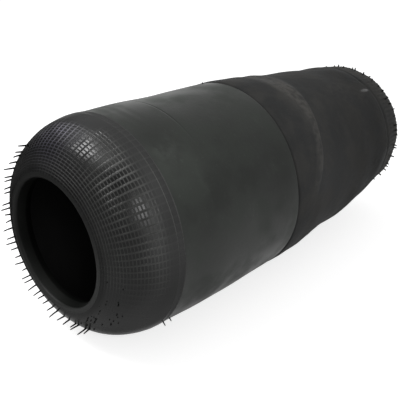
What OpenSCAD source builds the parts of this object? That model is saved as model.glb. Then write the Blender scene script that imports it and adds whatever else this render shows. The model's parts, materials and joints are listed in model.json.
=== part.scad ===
// Rolling-lobe air spring bellows: a bare rubber sleeve with a wire bead at each mouth.
// It lies on its side. The near mouth faces -X, the far mouth faces +X, and the floor is z = 0.
// Profiles are drawn as [x, r]: x runs from the near mouth along the axis, r is the radius.

/* [Sleeve] */
// Outside diameter of the smooth barrel
sleeve_d = 250; // [236:1:280]
// Length from mouth to mouth
sleeve_l = 600; // [592:1:670]
// Distance from the near mouth to the edge of the smooth cover
barrel_l = 260; // [180:1:280]
// Length of the neck behind the smooth cover
neck_l = 43; // [30:1:50]
// Radius lost along the neck
neck_drop = 4.5; // [2:0.5:7]
// Length of the straight taper
taper_l = 150; // [130:1:158]
// Radius lost along the straight taper
taper_drop = 10.5; // [6:0.5:14]
// Distance from the end of the taper to the far mouth
far_l = 95; // [85:1:110]
// Rounding of the near shoulder
near_round = 70; // [60:1:76]
// Rounding of the far shoulder
far_round = 52; // [46:1:58]
// Outside diameter over the crown of the far shoulder
far_crown_d = 204; // [196:1:210]

/* [Wall] */
// Thickness of the cover rubber on the shoulders and the barrel
cover_t = 2.4; // [2:0.1:3.5]
// How far the taper's cover lies below the barrel's cover
cover_step = 0.4; // [0.2:0.1:1]
// Thickness of one rubbered cord ply
ply_t = 1; // [0.7:0.1:1.4]
// Thickness of the airtight liner
liner_t = 1.5; // [1:0.1:2.5]
// Bond line between two layers
bond = 0.1; // [0.08:0.01:0.2]
// Gap where one section of the wall ends and the next begins
seam = 0.2; // [0.1:0.05:0.5]

/* [Sections] */
// Length of the section that takes the stroke
waist_l = 112; // [90:1:130]
// Length of the section that bends sideways
taper_section_l = 60; // [50:1:80]

/* [Bead] */
// Bore of the bead where it grips its seat
bead_bore_d = 138; // [132:0.5:142]
// Height of the smooth lip ring on the mouth's face
lip_h = 7; // [6:0.5:10]
// Rounding of the lip's inner edge
lip_round = 3; // [1:0.5:5]
// Thickness of the chafer that lines the bore
chafer_t = 1.8; // [1.4:0.1:2.5]
// Flare at the inner end of the bore
bore_flare = 1; // [0.5:0.1:1.4]
// Diameter of one bead wire
wire_d = 2; // [1.2:0.1:2.4]
// Wires across the bundle, and rows in it
wire_rows = 3; // [2:1:4]
// Gap between neighbouring wires
wire_gap = 0.1; // [0.05:0.05:0.3]
// Thickness of the fabric wrapped round the wires
wrap_t = 0.7; // [0.4:0.1:1.2]
// Butt joint of the wrap, left open
wrap_slit = 0.4; // [0.2:0.1:1]
// Rubber between the wrap's corner and the plies
filler_min = 0.8; // [0.5:0.1:2]
// How far the turned-up plies stand above the wrap
turnup_h = 6; // [3:0.5:8]
// How far the liner leans out above the turned-up plies
liner_lean = 2; // [1:0.5:4]

/* [Mould lines] */
// Width of a raised mould line
line_w = 1.2; // [0.6:0.1:2]
// Height of a raised mould line
line_h = 0.4; // [0.2:0.1:0.8]
// Distance between the two mould lines at the end of the shoulder
line_pitch = 7.5; // [4:0.5:9]

/* [Rest] */
// Depth of the flat that the sleeve's weight presses into its cover
rest_flat = 0.6; // [0.5:0.1:1]

/* [Hidden] */

smooth = 120; // facets round the sleeve
wire_smooth = 24; // facets round a wire
arc_steps = 18; // straight steps along one shoulder

rubber_colour = [0.17, 0.18, 0.17];
matte_colour = [0.16, 0.15, 0.14];
liner_colour = [0.10, 0.10, 0.10];
ply_colour = [0.30, 0.27, 0.22];
wire_colour = [0.72, 0.58, 0.36];

// Radii of the sleeve, of the two ends of the taper and of the bead
sleeve_r = sleeve_d / 2;
neck_r = sleeve_r - neck_drop;
taper_r = neck_r - taper_drop;
bead_r = bead_bore_d / 2;
lip_r = bead_r + lip_h;

// Depths of the layers below the barrel's outside
outer_ply_d = cover_t + bond;
inner_ply_d = outer_ply_d + ply_t + bond;
liner_d = inner_ply_d + ply_t + bond;
plies_t = 2 * ply_t + bond;

// Where the sections end
waist_end = barrel_l + waist_l;
taper_section_end = waist_end + taper_section_l;
taper_end = sleeve_l - far_l;
neck_end = taper_end - taper_l;
neck_start = neck_end - neck_l;

// The wire bundle and its wrap, as half sides of a square
wire_pitch = wire_d + wire_gap;
bundle_half = wire_rows * wire_pitch / 2;
wrap_half = bundle_half + wire_gap / 2 + wrap_t;

// Stack of layers on the bore, from the seat outwards
turnup_r = bead_r + chafer_t + bond;
core_r = turnup_r + plies_t + bond + wrap_half;
turnup_top_r = core_r + wrap_half + turnup_h;

// An end is [rounding, radius at which the rounding is centred], in its own x from its mouth
near_end = [near_round, sleeve_r - near_round];
far_end = [far_round, far_crown_d / 2 - far_round];

// How far inside the mouth the rounding of an end is centred
function centre_x(e) = sqrt(pow(e[0], 2) - pow(lip_r - e[1], 2));

// Angle of the lip seen from that centre, and the point at an angle and a depth
function lip_angle(e) = asin((lip_r - e[1]) / e[0]);
function on_end(e, a, depth) =
    [centre_x(e) - (e[0] - depth) * cos(a), e[1] + (e[0] - depth) * sin(a)];

// Place of the wire bundle, tucked inside the plies
function core_x(e) =
    let (reach = e[0] - liner_d - filler_min - wrap_half * sqrt(2))
    centre_x(e) - sqrt(pow(reach, 2) - pow(core_r - e[1], 2));

// Faces of the turned-up plies and of the liner's foot behind the bundle
function turnup_x(e) = core_x(e) + wrap_half + bond;
function foot_x(e) = turnup_x(e) + plies_t + bond;
function chafer_l(e) = foot_x(e) + liner_t;

// Angle at which the liner joins the rounding
function apex_angle(e) = acos((centre_x(e) - foot_x(e) - liner_lean) / (e[0] - liner_d));

// Angle at which the far rounding meets the taper's line
far_centre = [sleeve_l - centre_x(far_end), far_end[1]];
to_centre = far_centre - [taper_end, taper_r];
far_tangent = 90 + atan2(to_centre[1], to_centre[0]) + asin(far_round / norm(to_centre));

function reversed(points) = [for (i = [len(points) - 1:-1:0]) points[i]];
function from_far(points) = [for (p = reversed(points)) [sleeve_l - p[0], p[1]]];

// Points along one rounding at one depth
function rounding(e, depth, a0, a1) =
    [for (i = [0:arc_steps]) on_end(e, a0 + (a1 - a0) * i / arc_steps, depth)];

// Foot of the liner behind the bundle
function foot(e, shift) =
    [[foot_x(e) + shift, turnup_r], [foot_x(e) + shift, turnup_top_r]];

// One surface of the wall from mouth to mouth, at one depth
function straights(depth) =
    [[neck_start, sleeve_r - depth], [neck_end, neck_r - depth], [taper_end, taper_r - depth]];
function cover_line(depth) = concat(
    rounding(near_end, depth, lip_angle(near_end), 90),
    straights(depth),
    from_far(rounding(far_end, depth, lip_angle(far_end), far_tangent)));
function liner_line(depth, shift) = concat(
    foot(near_end, shift),
    rounding(near_end, depth, apex_angle(near_end), 90),
    straights(depth),
    from_far(concat(
        foot(far_end, shift),
        rounding(far_end, depth, apex_angle(far_end), far_tangent))));

// Turns a flat [x, r] drawing round the axis, with the sleeve centred over the origin
module turned() {
    translate([-sleeve_l / 2, 0, sleeve_r - rest_flat])
        rotate([0, 90, 0])
            rotate_extrude($fn = smooth)
                mirror([1, -1, 0])
                    children();
}

// Keeps the stretch of a drawing between two places on the axis
module stretch(from, to) {
    intersection() {
        children();
        translate([from, 0])
            square([to - from, sleeve_d]);
    }
}

// Puts a drawing that starts at its own mouth on the near or the far end
module at_end(e) {
    if (e == near_end)
        children();
    else
        translate([sleeve_l, 0])
            mirror([1, 0])
                children();
}

module layer(depth, t) {
    polygon(concat(cover_line(depth), reversed(cover_line(depth + t))));
}

module liner_layer() {
    polygon(concat(liner_line(liner_d, 0), reversed(liner_line(liner_d + liner_t, liner_t))));
}

// Cuts off what would reach below the floor
module rested() {
    difference() {
        children();
        translate([-sleeve_l, -sleeve_d, -sleeve_d])
            cube([2 * sleeve_l, 2 * sleeve_d, sleeve_d]);
    }
}

module liner(from, to) {
    color(liner_colour)
        turned()
            stretch(from, to)
                liner_layer();
}

module ply(depth, from, to) {
    color(ply_colour)
        turned()
            stretch(from, to)
                layer(depth, ply_t);
}

// Raised line on the near shoulder at a distance from the shoulder's end
module mould_line(back) {
    a = 90 - back / near_round * 180 / PI;
    translate(on_end(near_end, a, 0))
        rotate(90 - a)
            translate([-line_w / 2, -cover_t / 2])
                square([line_w, cover_t / 2 + line_h]);
}

module shoulder_cover() {
    color(rubber_colour)
        rested()
            union() {
                turned()
                    stretch(0, centre_x(near_end))
                        layer(0, cover_t);
                turned()
                    mould_line(line_w);
                turned()
                    mould_line(line_w + line_pitch);
            }
}

module barrel_cover() {
    color(rubber_colour)
        rested()
            turned()
                stretch(centre_x(near_end), barrel_l)
                    layer(0, cover_t);
}

module taper_cover(from, to) {
    color(matte_colour)
        rested()
            turned()
                stretch(from, to)
                    layer(cover_step, cover_t - cover_step);
}

// Wound bead wires, one ring for each turn of the winding
module bead_core(e) {
    color(wire_colour)
        for (i = [0:wire_rows - 1], j = [0:wire_rows - 1])
            turned()
                at_end(e)
                    translate([core_x(e) + (i + 0.5) * wire_pitch - bundle_half,
                               core_r + (j + 0.5) * wire_pitch - bundle_half])
                        circle(d = wire_d, $fn = wire_smooth);
}

// Square fabric wrap round the wires, open at its butt joint
module bead_wrap(e) {
    color(ply_colour)
        turned()
            at_end(e)
                translate([core_x(e), core_r])
                    difference() {
                        square(2 * wrap_half, center = true);
                        square(2 * (wrap_half - wrap_t), center = true);
                        translate([-wrap_slit / 2, 0])
                            square([wrap_slit, 2 * wrap_half]);
                    }
}

// Rubber wedge that fills the space between the bundle, the plies and the liner
module bead_filler(e) {
    ply_face = on_end(e, lip_angle(e), liner_d)[0];
    low = turnup_r + plies_t + bond;
    color(rubber_colour)
        turned()
            at_end(e)
                difference() {
                    polygon(concat(
                        [[ply_face, low]],
                        rounding(e, liner_d, lip_angle(e), apex_angle(e)),
                        [[foot_x(e) - bond, turnup_top_r], [foot_x(e) - bond, low]]));
                    translate([core_x(e) - wrap_half - bond, 0])
                        square([2 * (wrap_half + bond), core_r + wrap_half + bond]);
                    translate([turnup_x(e) - bond, 0])
                        square([plies_t + 3 * bond, turnup_top_r + bond]);
                }
}

// Both plies, turned from the mouth's face under the bundle and up behind it
module ply_turnup(e) {
    face = on_end(e, lip_angle(e), outer_ply_d);
    back = on_end(e, lip_angle(e), liner_d - bond);
    color(ply_colour)
        turned()
            at_end(e)
                polygon([
                    [face[0], face[1] - bond],
                    [face[0], turnup_r],
                    [turnup_x(e) + plies_t, turnup_r],
                    [turnup_x(e) + plies_t, turnup_top_r],
                    [turnup_x(e), turnup_top_r],
                    [turnup_x(e), turnup_r + plies_t],
                    [back[0], turnup_r + plies_t],
                    [back[0], back[1] - bond]]);
}

// Chafer that lines the bore and turns up as the smooth lip ring
module chafer(e) {
    out = on_end(e, lip_angle(e), 0);
    in = on_end(e, lip_angle(e), cover_t);
    end = chafer_l(e);
    color(rubber_colour)
        turned()
            at_end(e)
                polygon(concat(
                    [[out[0], out[1] - bond]],
                    [for (a = [0:15:90])
                        [lip_round * (1 - cos(a)), bead_r + lip_round * (1 - sin(a))]],
                    [[end - bore_flare, bead_r],
                     [end, bead_r + bore_flare],
                     [end, bead_r + chafer_t],
                     [in[0], bead_r + chafer_t],
                     [in[0], in[1] - bond]]));
}

bead_core(near_end);  // near_bead_core
bead_wrap(near_end);  // near_bead_wrap
bead_filler(near_end);  // near_bead_filler
ply_turnup(near_end);  // near_ply_turnup
chafer(near_end);  // near_chafer
liner(0, barrel_l);  // near_liner
ply(inner_ply_d, 0, barrel_l);  // near_inner_ply
ply(outer_ply_d, 0, barrel_l);  // near_outer_ply
shoulder_cover();  // near_shoulder_cover
barrel_cover();
liner(barrel_l + seam, waist_end);  // waist_liner
ply(inner_ply_d, barrel_l + seam, waist_end);  // waist_inner_ply
ply(outer_ply_d, barrel_l + seam, waist_end);  // waist_outer_ply
taper_cover(barrel_l + seam, waist_end);  // waist_cover
liner(waist_end + seam, taper_section_end);  // taper_liner
ply(inner_ply_d, waist_end + seam, taper_section_end);  // taper_inner_ply
ply(outer_ply_d, waist_end + seam, taper_section_end);  // taper_outer_ply
taper_cover(waist_end + seam, taper_section_end);
liner(taper_section_end + seam, sleeve_l);  // far_liner
ply(inner_ply_d, taper_section_end + seam, sleeve_l);  // far_inner_ply
ply(outer_ply_d, taper_section_end + seam, sleeve_l);  // far_outer_ply
taper_cover(taper_section_end + seam, sleeve_l);  // far_cover
ply_turnup(far_end);  // far_ply_turnup
chafer(far_end);  // far_chafer
bead_filler(far_end);  // far_bead_filler
bead_wrap(far_end);  // far_bead_wrap
bead_core(far_end);  // far_bead_core
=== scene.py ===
"""Looks of a bare air spring bellows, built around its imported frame.

The sleeve lies on its side along X with its ribbed mouth facing -X. A place on it is given by x
along the axis and by phi round the axis: 0 degrees faces -Y, 90 degrees faces up and 180 degrees
faces +Y. Lengths are metres.
"""

import json
import logging
import math
from dataclasses import dataclass
from enum import Enum

import bmesh
import bpy
import numpy as np
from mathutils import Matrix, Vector
from numpy.typing import NDArray


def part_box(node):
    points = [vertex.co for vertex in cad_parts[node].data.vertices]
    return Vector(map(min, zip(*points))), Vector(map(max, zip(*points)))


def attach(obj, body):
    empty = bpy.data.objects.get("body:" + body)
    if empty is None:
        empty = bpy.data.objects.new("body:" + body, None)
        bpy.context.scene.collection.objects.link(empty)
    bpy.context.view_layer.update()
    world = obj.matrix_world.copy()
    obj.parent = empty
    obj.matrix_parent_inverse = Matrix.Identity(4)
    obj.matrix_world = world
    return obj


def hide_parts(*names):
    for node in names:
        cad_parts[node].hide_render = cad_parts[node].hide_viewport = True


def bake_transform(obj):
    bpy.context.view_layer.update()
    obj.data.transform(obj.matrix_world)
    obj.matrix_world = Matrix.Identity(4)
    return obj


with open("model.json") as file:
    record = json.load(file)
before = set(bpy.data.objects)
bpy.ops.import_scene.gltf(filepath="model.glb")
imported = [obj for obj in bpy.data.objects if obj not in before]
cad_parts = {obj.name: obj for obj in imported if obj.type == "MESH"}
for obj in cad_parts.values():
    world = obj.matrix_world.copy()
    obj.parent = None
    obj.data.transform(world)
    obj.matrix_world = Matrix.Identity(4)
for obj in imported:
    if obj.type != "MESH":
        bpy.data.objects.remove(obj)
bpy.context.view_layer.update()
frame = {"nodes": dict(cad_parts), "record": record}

Array = NDArray[np.float64]
log = logging.getLogger("bellows")
MM = 0.001
TURN = 2.0 * math.pi
# How far the soft cover sinks where the near shoulder meets the barrel
SHOULDER_SLUMP = 1.5 * MM
# Points closer than this are one point
MERGE_DISTANCE = 1e-7
WHITE = (1.0, 1.0, 1.0, 1.0)


class Layer(Enum):
    """Layers of the wall, from the outside in."""

    COVER = "cover"
    OUTER_PLY = "outer_ply"
    INNER_PLY = "inner_ply"
    LINER = "liner"


class Section(Enum):
    """Sections of the matte end, each with the two bodies at its ends."""

    WAIST = ("waist", "near_end", "waist")
    TAPER = ("taper", "waist", "taper")
    FAR = ("far", "taper", "far_end")

    @property
    def prefix(self) -> str:
        """First word of the section's nodes."""
        return self.value[0]

    @property
    def bodies(self) -> tuple[str, str]:
        """Bodies at the section's two ends."""
        return self.value[1], self.value[2]


def smooth_step(value: Array, low: float, high: float) -> Array:
    """Rises from 0 at low to 1 at high along 3t^2 - 2t^3.

    Args:
        value: Places at which the step is wanted.
        low: Place where the rise starts.
        high: Place where the rise ends, which may be the smaller one.

    Returns:
        The step at each place.
    """
    t = np.clip((value - low) / (high - low), 0.0, 1.0)
    return t * t * (3.0 - 2.0 * t)


def hump(value: Array, centre: float, width: float) -> Array:
    """Bell of height 1: exp(-((value - centre) / width)^2)."""
    return np.exp(-(((value - centre) / width) ** 2))


def turned_from(phi: Array, centre_deg: float) -> Array:
    """Angle in degrees between phi and a place round the sleeve, from 0 to 180."""
    return np.abs((np.degrees(phi) - centre_deg + 180.0) % 360.0 - 180.0)


@dataclass(frozen=True)
class Change:
    """Smooth change of a value between two places.

    Attributes:
        start: Place where the change starts.
        end: Place where it ends, which may be the smaller one.
        before: Value on the start's side.
        after: Value on the end's side.
    """

    start: float
    end: float
    before: float = 0.0
    after: float = 1.0

    def over(self, value: Array, base: float = 0.0) -> Array:
        """before + (after - before)(3t^2 - 2t^3), where t is 0 at base + start and 1 at base + end."""
        share = smooth_step(value, base + self.start, base + self.end)
        return self.before + (self.after - self.before) * share


@dataclass(frozen=True)
class Sector:
    """Smooth change of a value round the sleeve, the same on both sides of a middle.

    Attributes:
        middle: Place round the sleeve, in degrees.
        start: Angle from the middle where the change starts, in degrees.
        end: Angle from the middle where it ends, which may be the smaller one.
        before: Value on the start's side.
        after: Value on the end's side.
    """

    middle: float
    start: float
    end: float
    before: float = 0.0
    after: float = 1.0

    def over(self, phi: Array) -> Array:
        """The change over the angle between phi and the middle."""
        change = Change(self.start, self.end, self.before, self.after)
        return change.over(turned_from(phi, self.middle))


@dataclass(frozen=True)
class Bell:
    """Bell-shaped rise along a line.

    Attributes:
        height: Its height, below 0 for a dip.
        centre: Its place.
        width: Half its width.
    """

    height: float
    centre: float
    width: float

    def over(self, value: Array, base: float = 0.0) -> Array:
        """height exp(-((value - base - centre) / width)^2)."""
        return self.height * hump(value, base + self.centre, self.width)


@dataclass(frozen=True)
class Rounding:
    """Arc of a shoulder in the half plane (x, r), from the lip to the crown.

    Attributes:
        centre_x: Place of the arc's centre along the axis.
        centre_r: Distance of the arc's centre from the axis.
        radius: Radius of the arc.
        faces: -1 where the mouth faces -X, 1 where it faces +X.
        lip_angle: Angle of the lip, from the direction out of the mouth, in radians.
    """

    centre_x: float
    centre_r: float
    radius: float
    faces: int
    lip_angle: float

    @classmethod
    def through(cls, mouth_x: float, lip_r: float, crown_r: float, reach: float, faces: int) -> "Rounding":
        """Finds the arc that leaves the crown level and passes through the lip.

        The radius is (reach^2 + drop^2) / (2 drop), where drop is how much the lip lies inside
        the crown.

        Args:
            mouth_x: Place of the mouth's plane.
            lip_r: Radius of the lip's outer edge.
            crown_r: Radius over the crown.
            reach: Distance of the arc's centre behind the mouth.
            faces: -1 where the mouth faces -X, 1 where it faces +X.

        Returns:
            The rounding.
        """
        drop = crown_r - lip_r
        radius = (reach**2 + drop**2) / (2.0 * drop)
        centre_r = crown_r - radius
        return cls(mouth_x - faces * reach, centre_r, radius, faces, math.asin((lip_r - centre_r) / radius))

    @property
    def length(self) -> float:
        """Length of the arc from the lip to the crown."""
        return (math.pi / 2 - self.lip_angle) * self.radius

    def angle_at(self, distance: Array) -> Array:
        """Angle at a distance along the arc from the lip."""
        return self.lip_angle + distance / self.radius


@dataclass(frozen=True)
class Sleeve:
    """Sizes of the sleeve that are read from the frame.

    Attributes:
        axis_z: Height of the axis.
        barrel_r: Outside radius of the barrel.
        lip_r: Radius at which a lip ring meets its shoulder.
        bore_r: Radius of the bead's bore.
        near_x: Place of the near mouth.
        far_x: Place of the far mouth.
        shoulder_x: Place where the near shoulder becomes the barrel.
        edge_x: Place where the smooth cover ends.
        waist_x: Place where the waist section ends.
        taper_x: Place where the taper section ends.
        depths: Depth of each layer below the barrel's outside.
        thicknesses: Thickness of each layer.
        bond: Bond line between two layers.
        liner_t: Thickness of the liner.
        seam: Gap behind the smooth cover's edge.
    """

    axis_z: float
    barrel_r: float
    lip_r: float
    bore_r: float
    near_x: float
    far_x: float
    shoulder_x: float
    edge_x: float
    waist_x: float
    taper_x: float
    depths: dict[Layer, float]
    thicknesses: dict[Layer, float]
    bond: float = 0.1 * MM
    liner_t: float = 1.5 * MM
    seam: float = 0.2 * MM

    @classmethod
    def from_frame(cls, record: dict) -> "Sleeve":
        """Reads the sleeve's sizes from the boxes of its nodes.

        Args:
            record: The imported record.

        Returns:
            The sleeve's sizes.
        """
        barrel_low, barrel_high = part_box("barrel_cover")
        barrel_r = barrel_high.y
        chafer_low, chafer_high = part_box("near_chafer")
        depths = {Layer.COVER: 0.0}
        for layer in (Layer.OUTER_PLY, Layer.INNER_PLY, Layer.LINER):
            depths[layer] = barrel_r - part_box(f"near_{layer.value}")[1].y
        ply = depths[Layer.INNER_PLY] - depths[Layer.OUTER_PLY] - cls.bond
        thicknesses = {
            Layer.COVER: depths[Layer.OUTER_PLY] - cls.bond,
            Layer.OUTER_PLY: ply,
            Layer.INNER_PLY: ply,
            Layer.LINER: cls.liner_t,
        }
        return cls(
            axis_z=barrel_high.z - barrel_r,
            barrel_r=barrel_r,
            lip_r=chafer_high.y + cls.bond,
            bore_r=record["mounts"][0]["dims"]["r_mm"] * MM,
            near_x=chafer_low.x,
            far_x=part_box("far_chafer")[1].x,
            shoulder_x=barrel_low.x,
            edge_x=barrel_high.x,
            waist_x=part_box("waist_cover")[1].x,
            taper_x=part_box("taper_cover")[1].x,
            depths=depths,
            thicknesses=thicknesses,
        )

    @property
    def near_rounding(self) -> Rounding:
        """Arc of the near shoulder."""
        reach = self.shoulder_x - self.near_x
        return Rounding.through(self.near_x, self.lip_r, self.barrel_r, reach, -1)


@dataclass(frozen=True)
class WallLine:
    """Line of the wall's outside in the half plane (x, r), with its outward normals.

    Attributes:
        x: Places along the axis.
        r: Radii.
        normal_x: Parts of the normals along the axis.
        normal_r: Parts of the normals away from the axis.
    """

    x: Array
    r: Array
    normal_x: Array
    normal_r: Array

    @classmethod
    def arc(cls, rounding: Rounding, angles: Array) -> "WallLine":
        """Line along a rounding: centre + radius * (cos, sin), where 0 faces out of the mouth."""
        normal_x = rounding.faces * np.cos(angles)
        normal_r = np.sin(angles)
        x = rounding.centre_x + rounding.radius * normal_x
        r = rounding.centre_r + rounding.radius * normal_r
        return cls(x, r, normal_x, normal_r)

    @classmethod
    def straight(cls, x: Array, r: Array) -> "WallLine":
        """Line through points with the normals of its own slope."""
        slope = np.gradient(r, x)
        size = np.hypot(slope, 1.0)
        return cls(x, r, -slope / size, 1.0 / size)

    def then(self, other: "WallLine") -> "WallLine":
        """This line followed by another."""
        pairs = zip(
            (self.x, self.r, self.normal_x, self.normal_r),
            (other.x, other.r, other.normal_x, other.normal_r),
        )
        return WallLine(*(np.concatenate(pair) for pair in pairs))

    def raised(self, height: Array | float, columns: int = 1) -> tuple[Array, Array]:
        """Moves the line along its normals.

        Args:
            height: One height, one for each point, or a grid of a row for each point.
            columns: How many columns the result has where the height isn't a grid.

        Returns:
            Grids of x and r.
        """
        grid = np.asarray(height, float)
        if grid.ndim < 2:
            grid = np.broadcast_to(grid.reshape(-1, 1), (len(self.x), columns))
        x = self.x[:, None] + grid * self.normal_x[:, None]
        r = self.r[:, None] + grid * self.normal_r[:, None]
        return x, r


@dataclass(frozen=True)
class Unevenness:
    """Gentle waves of moulded rubber, as a seeded sum of cosines that closes round the sleeve.

    Attributes:
        seed: Seed of the random draws.
        height: Height that about two thirds of the surface stays within.
        shortest: Shortest wave along the wall.
        longest: Longest wave along the wall.
        most_round: Most waves round the sleeve.
        waves: How many waves are added up.
    """

    seed: int
    height: float
    shortest: float
    longest: float
    most_round: int
    waves: int = 14

    def over(self, along: Array, phi: Array) -> Array:
        """Sum over k of cos(n_k phi + 2 pi along / length_k + phase_k), scaled to the height.

        Args:
            along: Distances along the wall.
            phi: Angles round the sleeve.

        Returns:
            A grid of heights, a row for each distance.
        """
        rng = np.random.default_rng(self.seed)
        counts = rng.integers(0, self.most_round + 1, self.waves)
        lengths = rng.uniform(self.shortest, self.longest, self.waves) * rng.choice([-1, 1], self.waves)
        phases = rng.uniform(0.0, TURN, self.waves)
        turns = TURN * along[:, None, None] / lengths + counts * phi[None, :, None] + phases
        return np.cos(turns).sum(axis=-1) * self.height / math.sqrt(self.waves / 2.0)


@dataclass(frozen=True)
class Smudge:
    """Soft mark on the rubber, or a soft patch of painted shade and light.

    Attributes:
        x: Place along the axis, or along the arc of a shoulder.
        side: Place round the sleeve, in degrees.
        half_l: Half its length along the axis.
        half_deg: Half its width round the sleeve, in degrees.
        strength: How strong it is, below 0 for painted light instead of painted shade.
    """

    x: float
    side: float
    half_l: float
    half_deg: float
    strength: float

    def over(self, x: Array, phi: Array) -> Array:
        """Bell exp(-(dx / half_l)^2 - (dphi / half_deg)^2) times the strength, over a grid."""
        along = hump(x, self.x, self.half_l)
        round_it = hump(turned_from(phi, self.side), 0.0, self.half_deg)
        return self.strength * along[:, None] * round_it[None, :]


def layered(smudges: tuple[Smudge, ...], x: Array, phi: Array) -> Array:
    """Sum of smudges over a grid."""
    return sum(smudge.over(x, phi) for smudge in smudges)


def even_phi(columns: int) -> Array:
    """Angles of evenly spaced columns round the sleeve."""
    return np.arange(columns) * TURN / columns


def fill_mesh(name: str, points: Array, faces: Array, smooth_below: float = 35.0) -> bpy.types.Object:
    """Makes an object of quads from whole arrays.

    Args:
        name: Name of the piece.
        points: Vertices, a row of three for each.
        faces: Vertex numbers, a row of four for each quad.
        smooth_below: Angle in degrees above which an edge is shown sharp.

    Returns:
        The new object, linked to the scene.
    """
    mesh = bpy.data.meshes.new(name)
    mesh.vertices.add(len(points))
    mesh.vertices.foreach_set("co", points.astype(np.float32).ravel())
    mesh.loops.add(faces.size)
    mesh.loops.foreach_set("vertex_index", faces.astype(np.int32).ravel())
    mesh.polygons.add(len(faces))
    mesh.polygons.foreach_set("loop_start", np.arange(0, faces.size, 4, dtype=np.int32))
    mesh.update(calc_edges=True)
    mesh.validate()
    mesh.shade_smooth()
    mesh.set_sharp_from_angle(angle=math.radians(smooth_below))
    piece = bpy.data.objects.new(name, mesh)
    bpy.context.scene.collection.objects.link(piece)
    return piece


def wrap(
    name: str,
    outside: tuple[Array, Array],
    inside: tuple[Array, Array],
    phi: Array,
    axis_z: float,
    masks: dict[str, Array] | None = None,
    smooth_below: float = 35.0,
) -> bpy.types.Object:
    """Closes an outer and an inner surface into one skin round the axis.

    A point is (x, -r cos phi, axis_z + r sin phi), and never lower than the floor. The rows run
    out along the outside and back along the inside, so that every face points out of the rubber.

    Args:
        name: Name of the piece.
        outside: Grids of x and r of the outer surface.
        inside: Grids of x and r of the inner surface, in the same direction, or empty grids
            where the outer surface closes on itself.
        phi: Angles of the columns.
        axis_z: Height of the axis.
        masks: Grids over the outer surface that the finishes read as attributes, by name.
        smooth_below: Angle in degrees above which an edge is shown sharp.

    Returns:
        The new object.
    """
    x = np.concatenate([outside[0], inside[0][::-1]])
    r = np.concatenate([outside[1], inside[1][::-1]])
    rows, columns = r.shape
    y = -r * np.cos(phi)
    z = np.maximum(axis_z + r * np.sin(phi), 0.0)
    points = np.stack([x, y, z], axis=-1).reshape(-1, 3)
    row, column = np.meshgrid(np.arange(rows), np.arange(columns), indexing="ij")
    next_row, next_column = (row + 1) % rows, (column + 1) % columns
    corners = [
        row * columns + column,
        next_row * columns + column,
        next_row * columns + next_column,
        row * columns + next_column,
    ]
    piece = fill_mesh(name, points, np.stack(corners, axis=-1).reshape(-1, 4), smooth_below)
    for mask, values in (masks or {}).items():
        grid = np.zeros((rows, columns))
        grid[: len(values)] = values
        attribute = piece.data.attributes.new(mask, "FLOAT", "POINT")
        attribute.data.foreach_set("value", grid.astype(np.float32).ravel())
    return piece


def dress(piece: bpy.types.Object, material: bpy.types.Material) -> None:
    """Gives a new piece its material.

    Args:
        piece: The piece.
        material: Its material.
    """
    piece.data.materials.clear()
    piece.data.materials.append(material)


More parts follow.
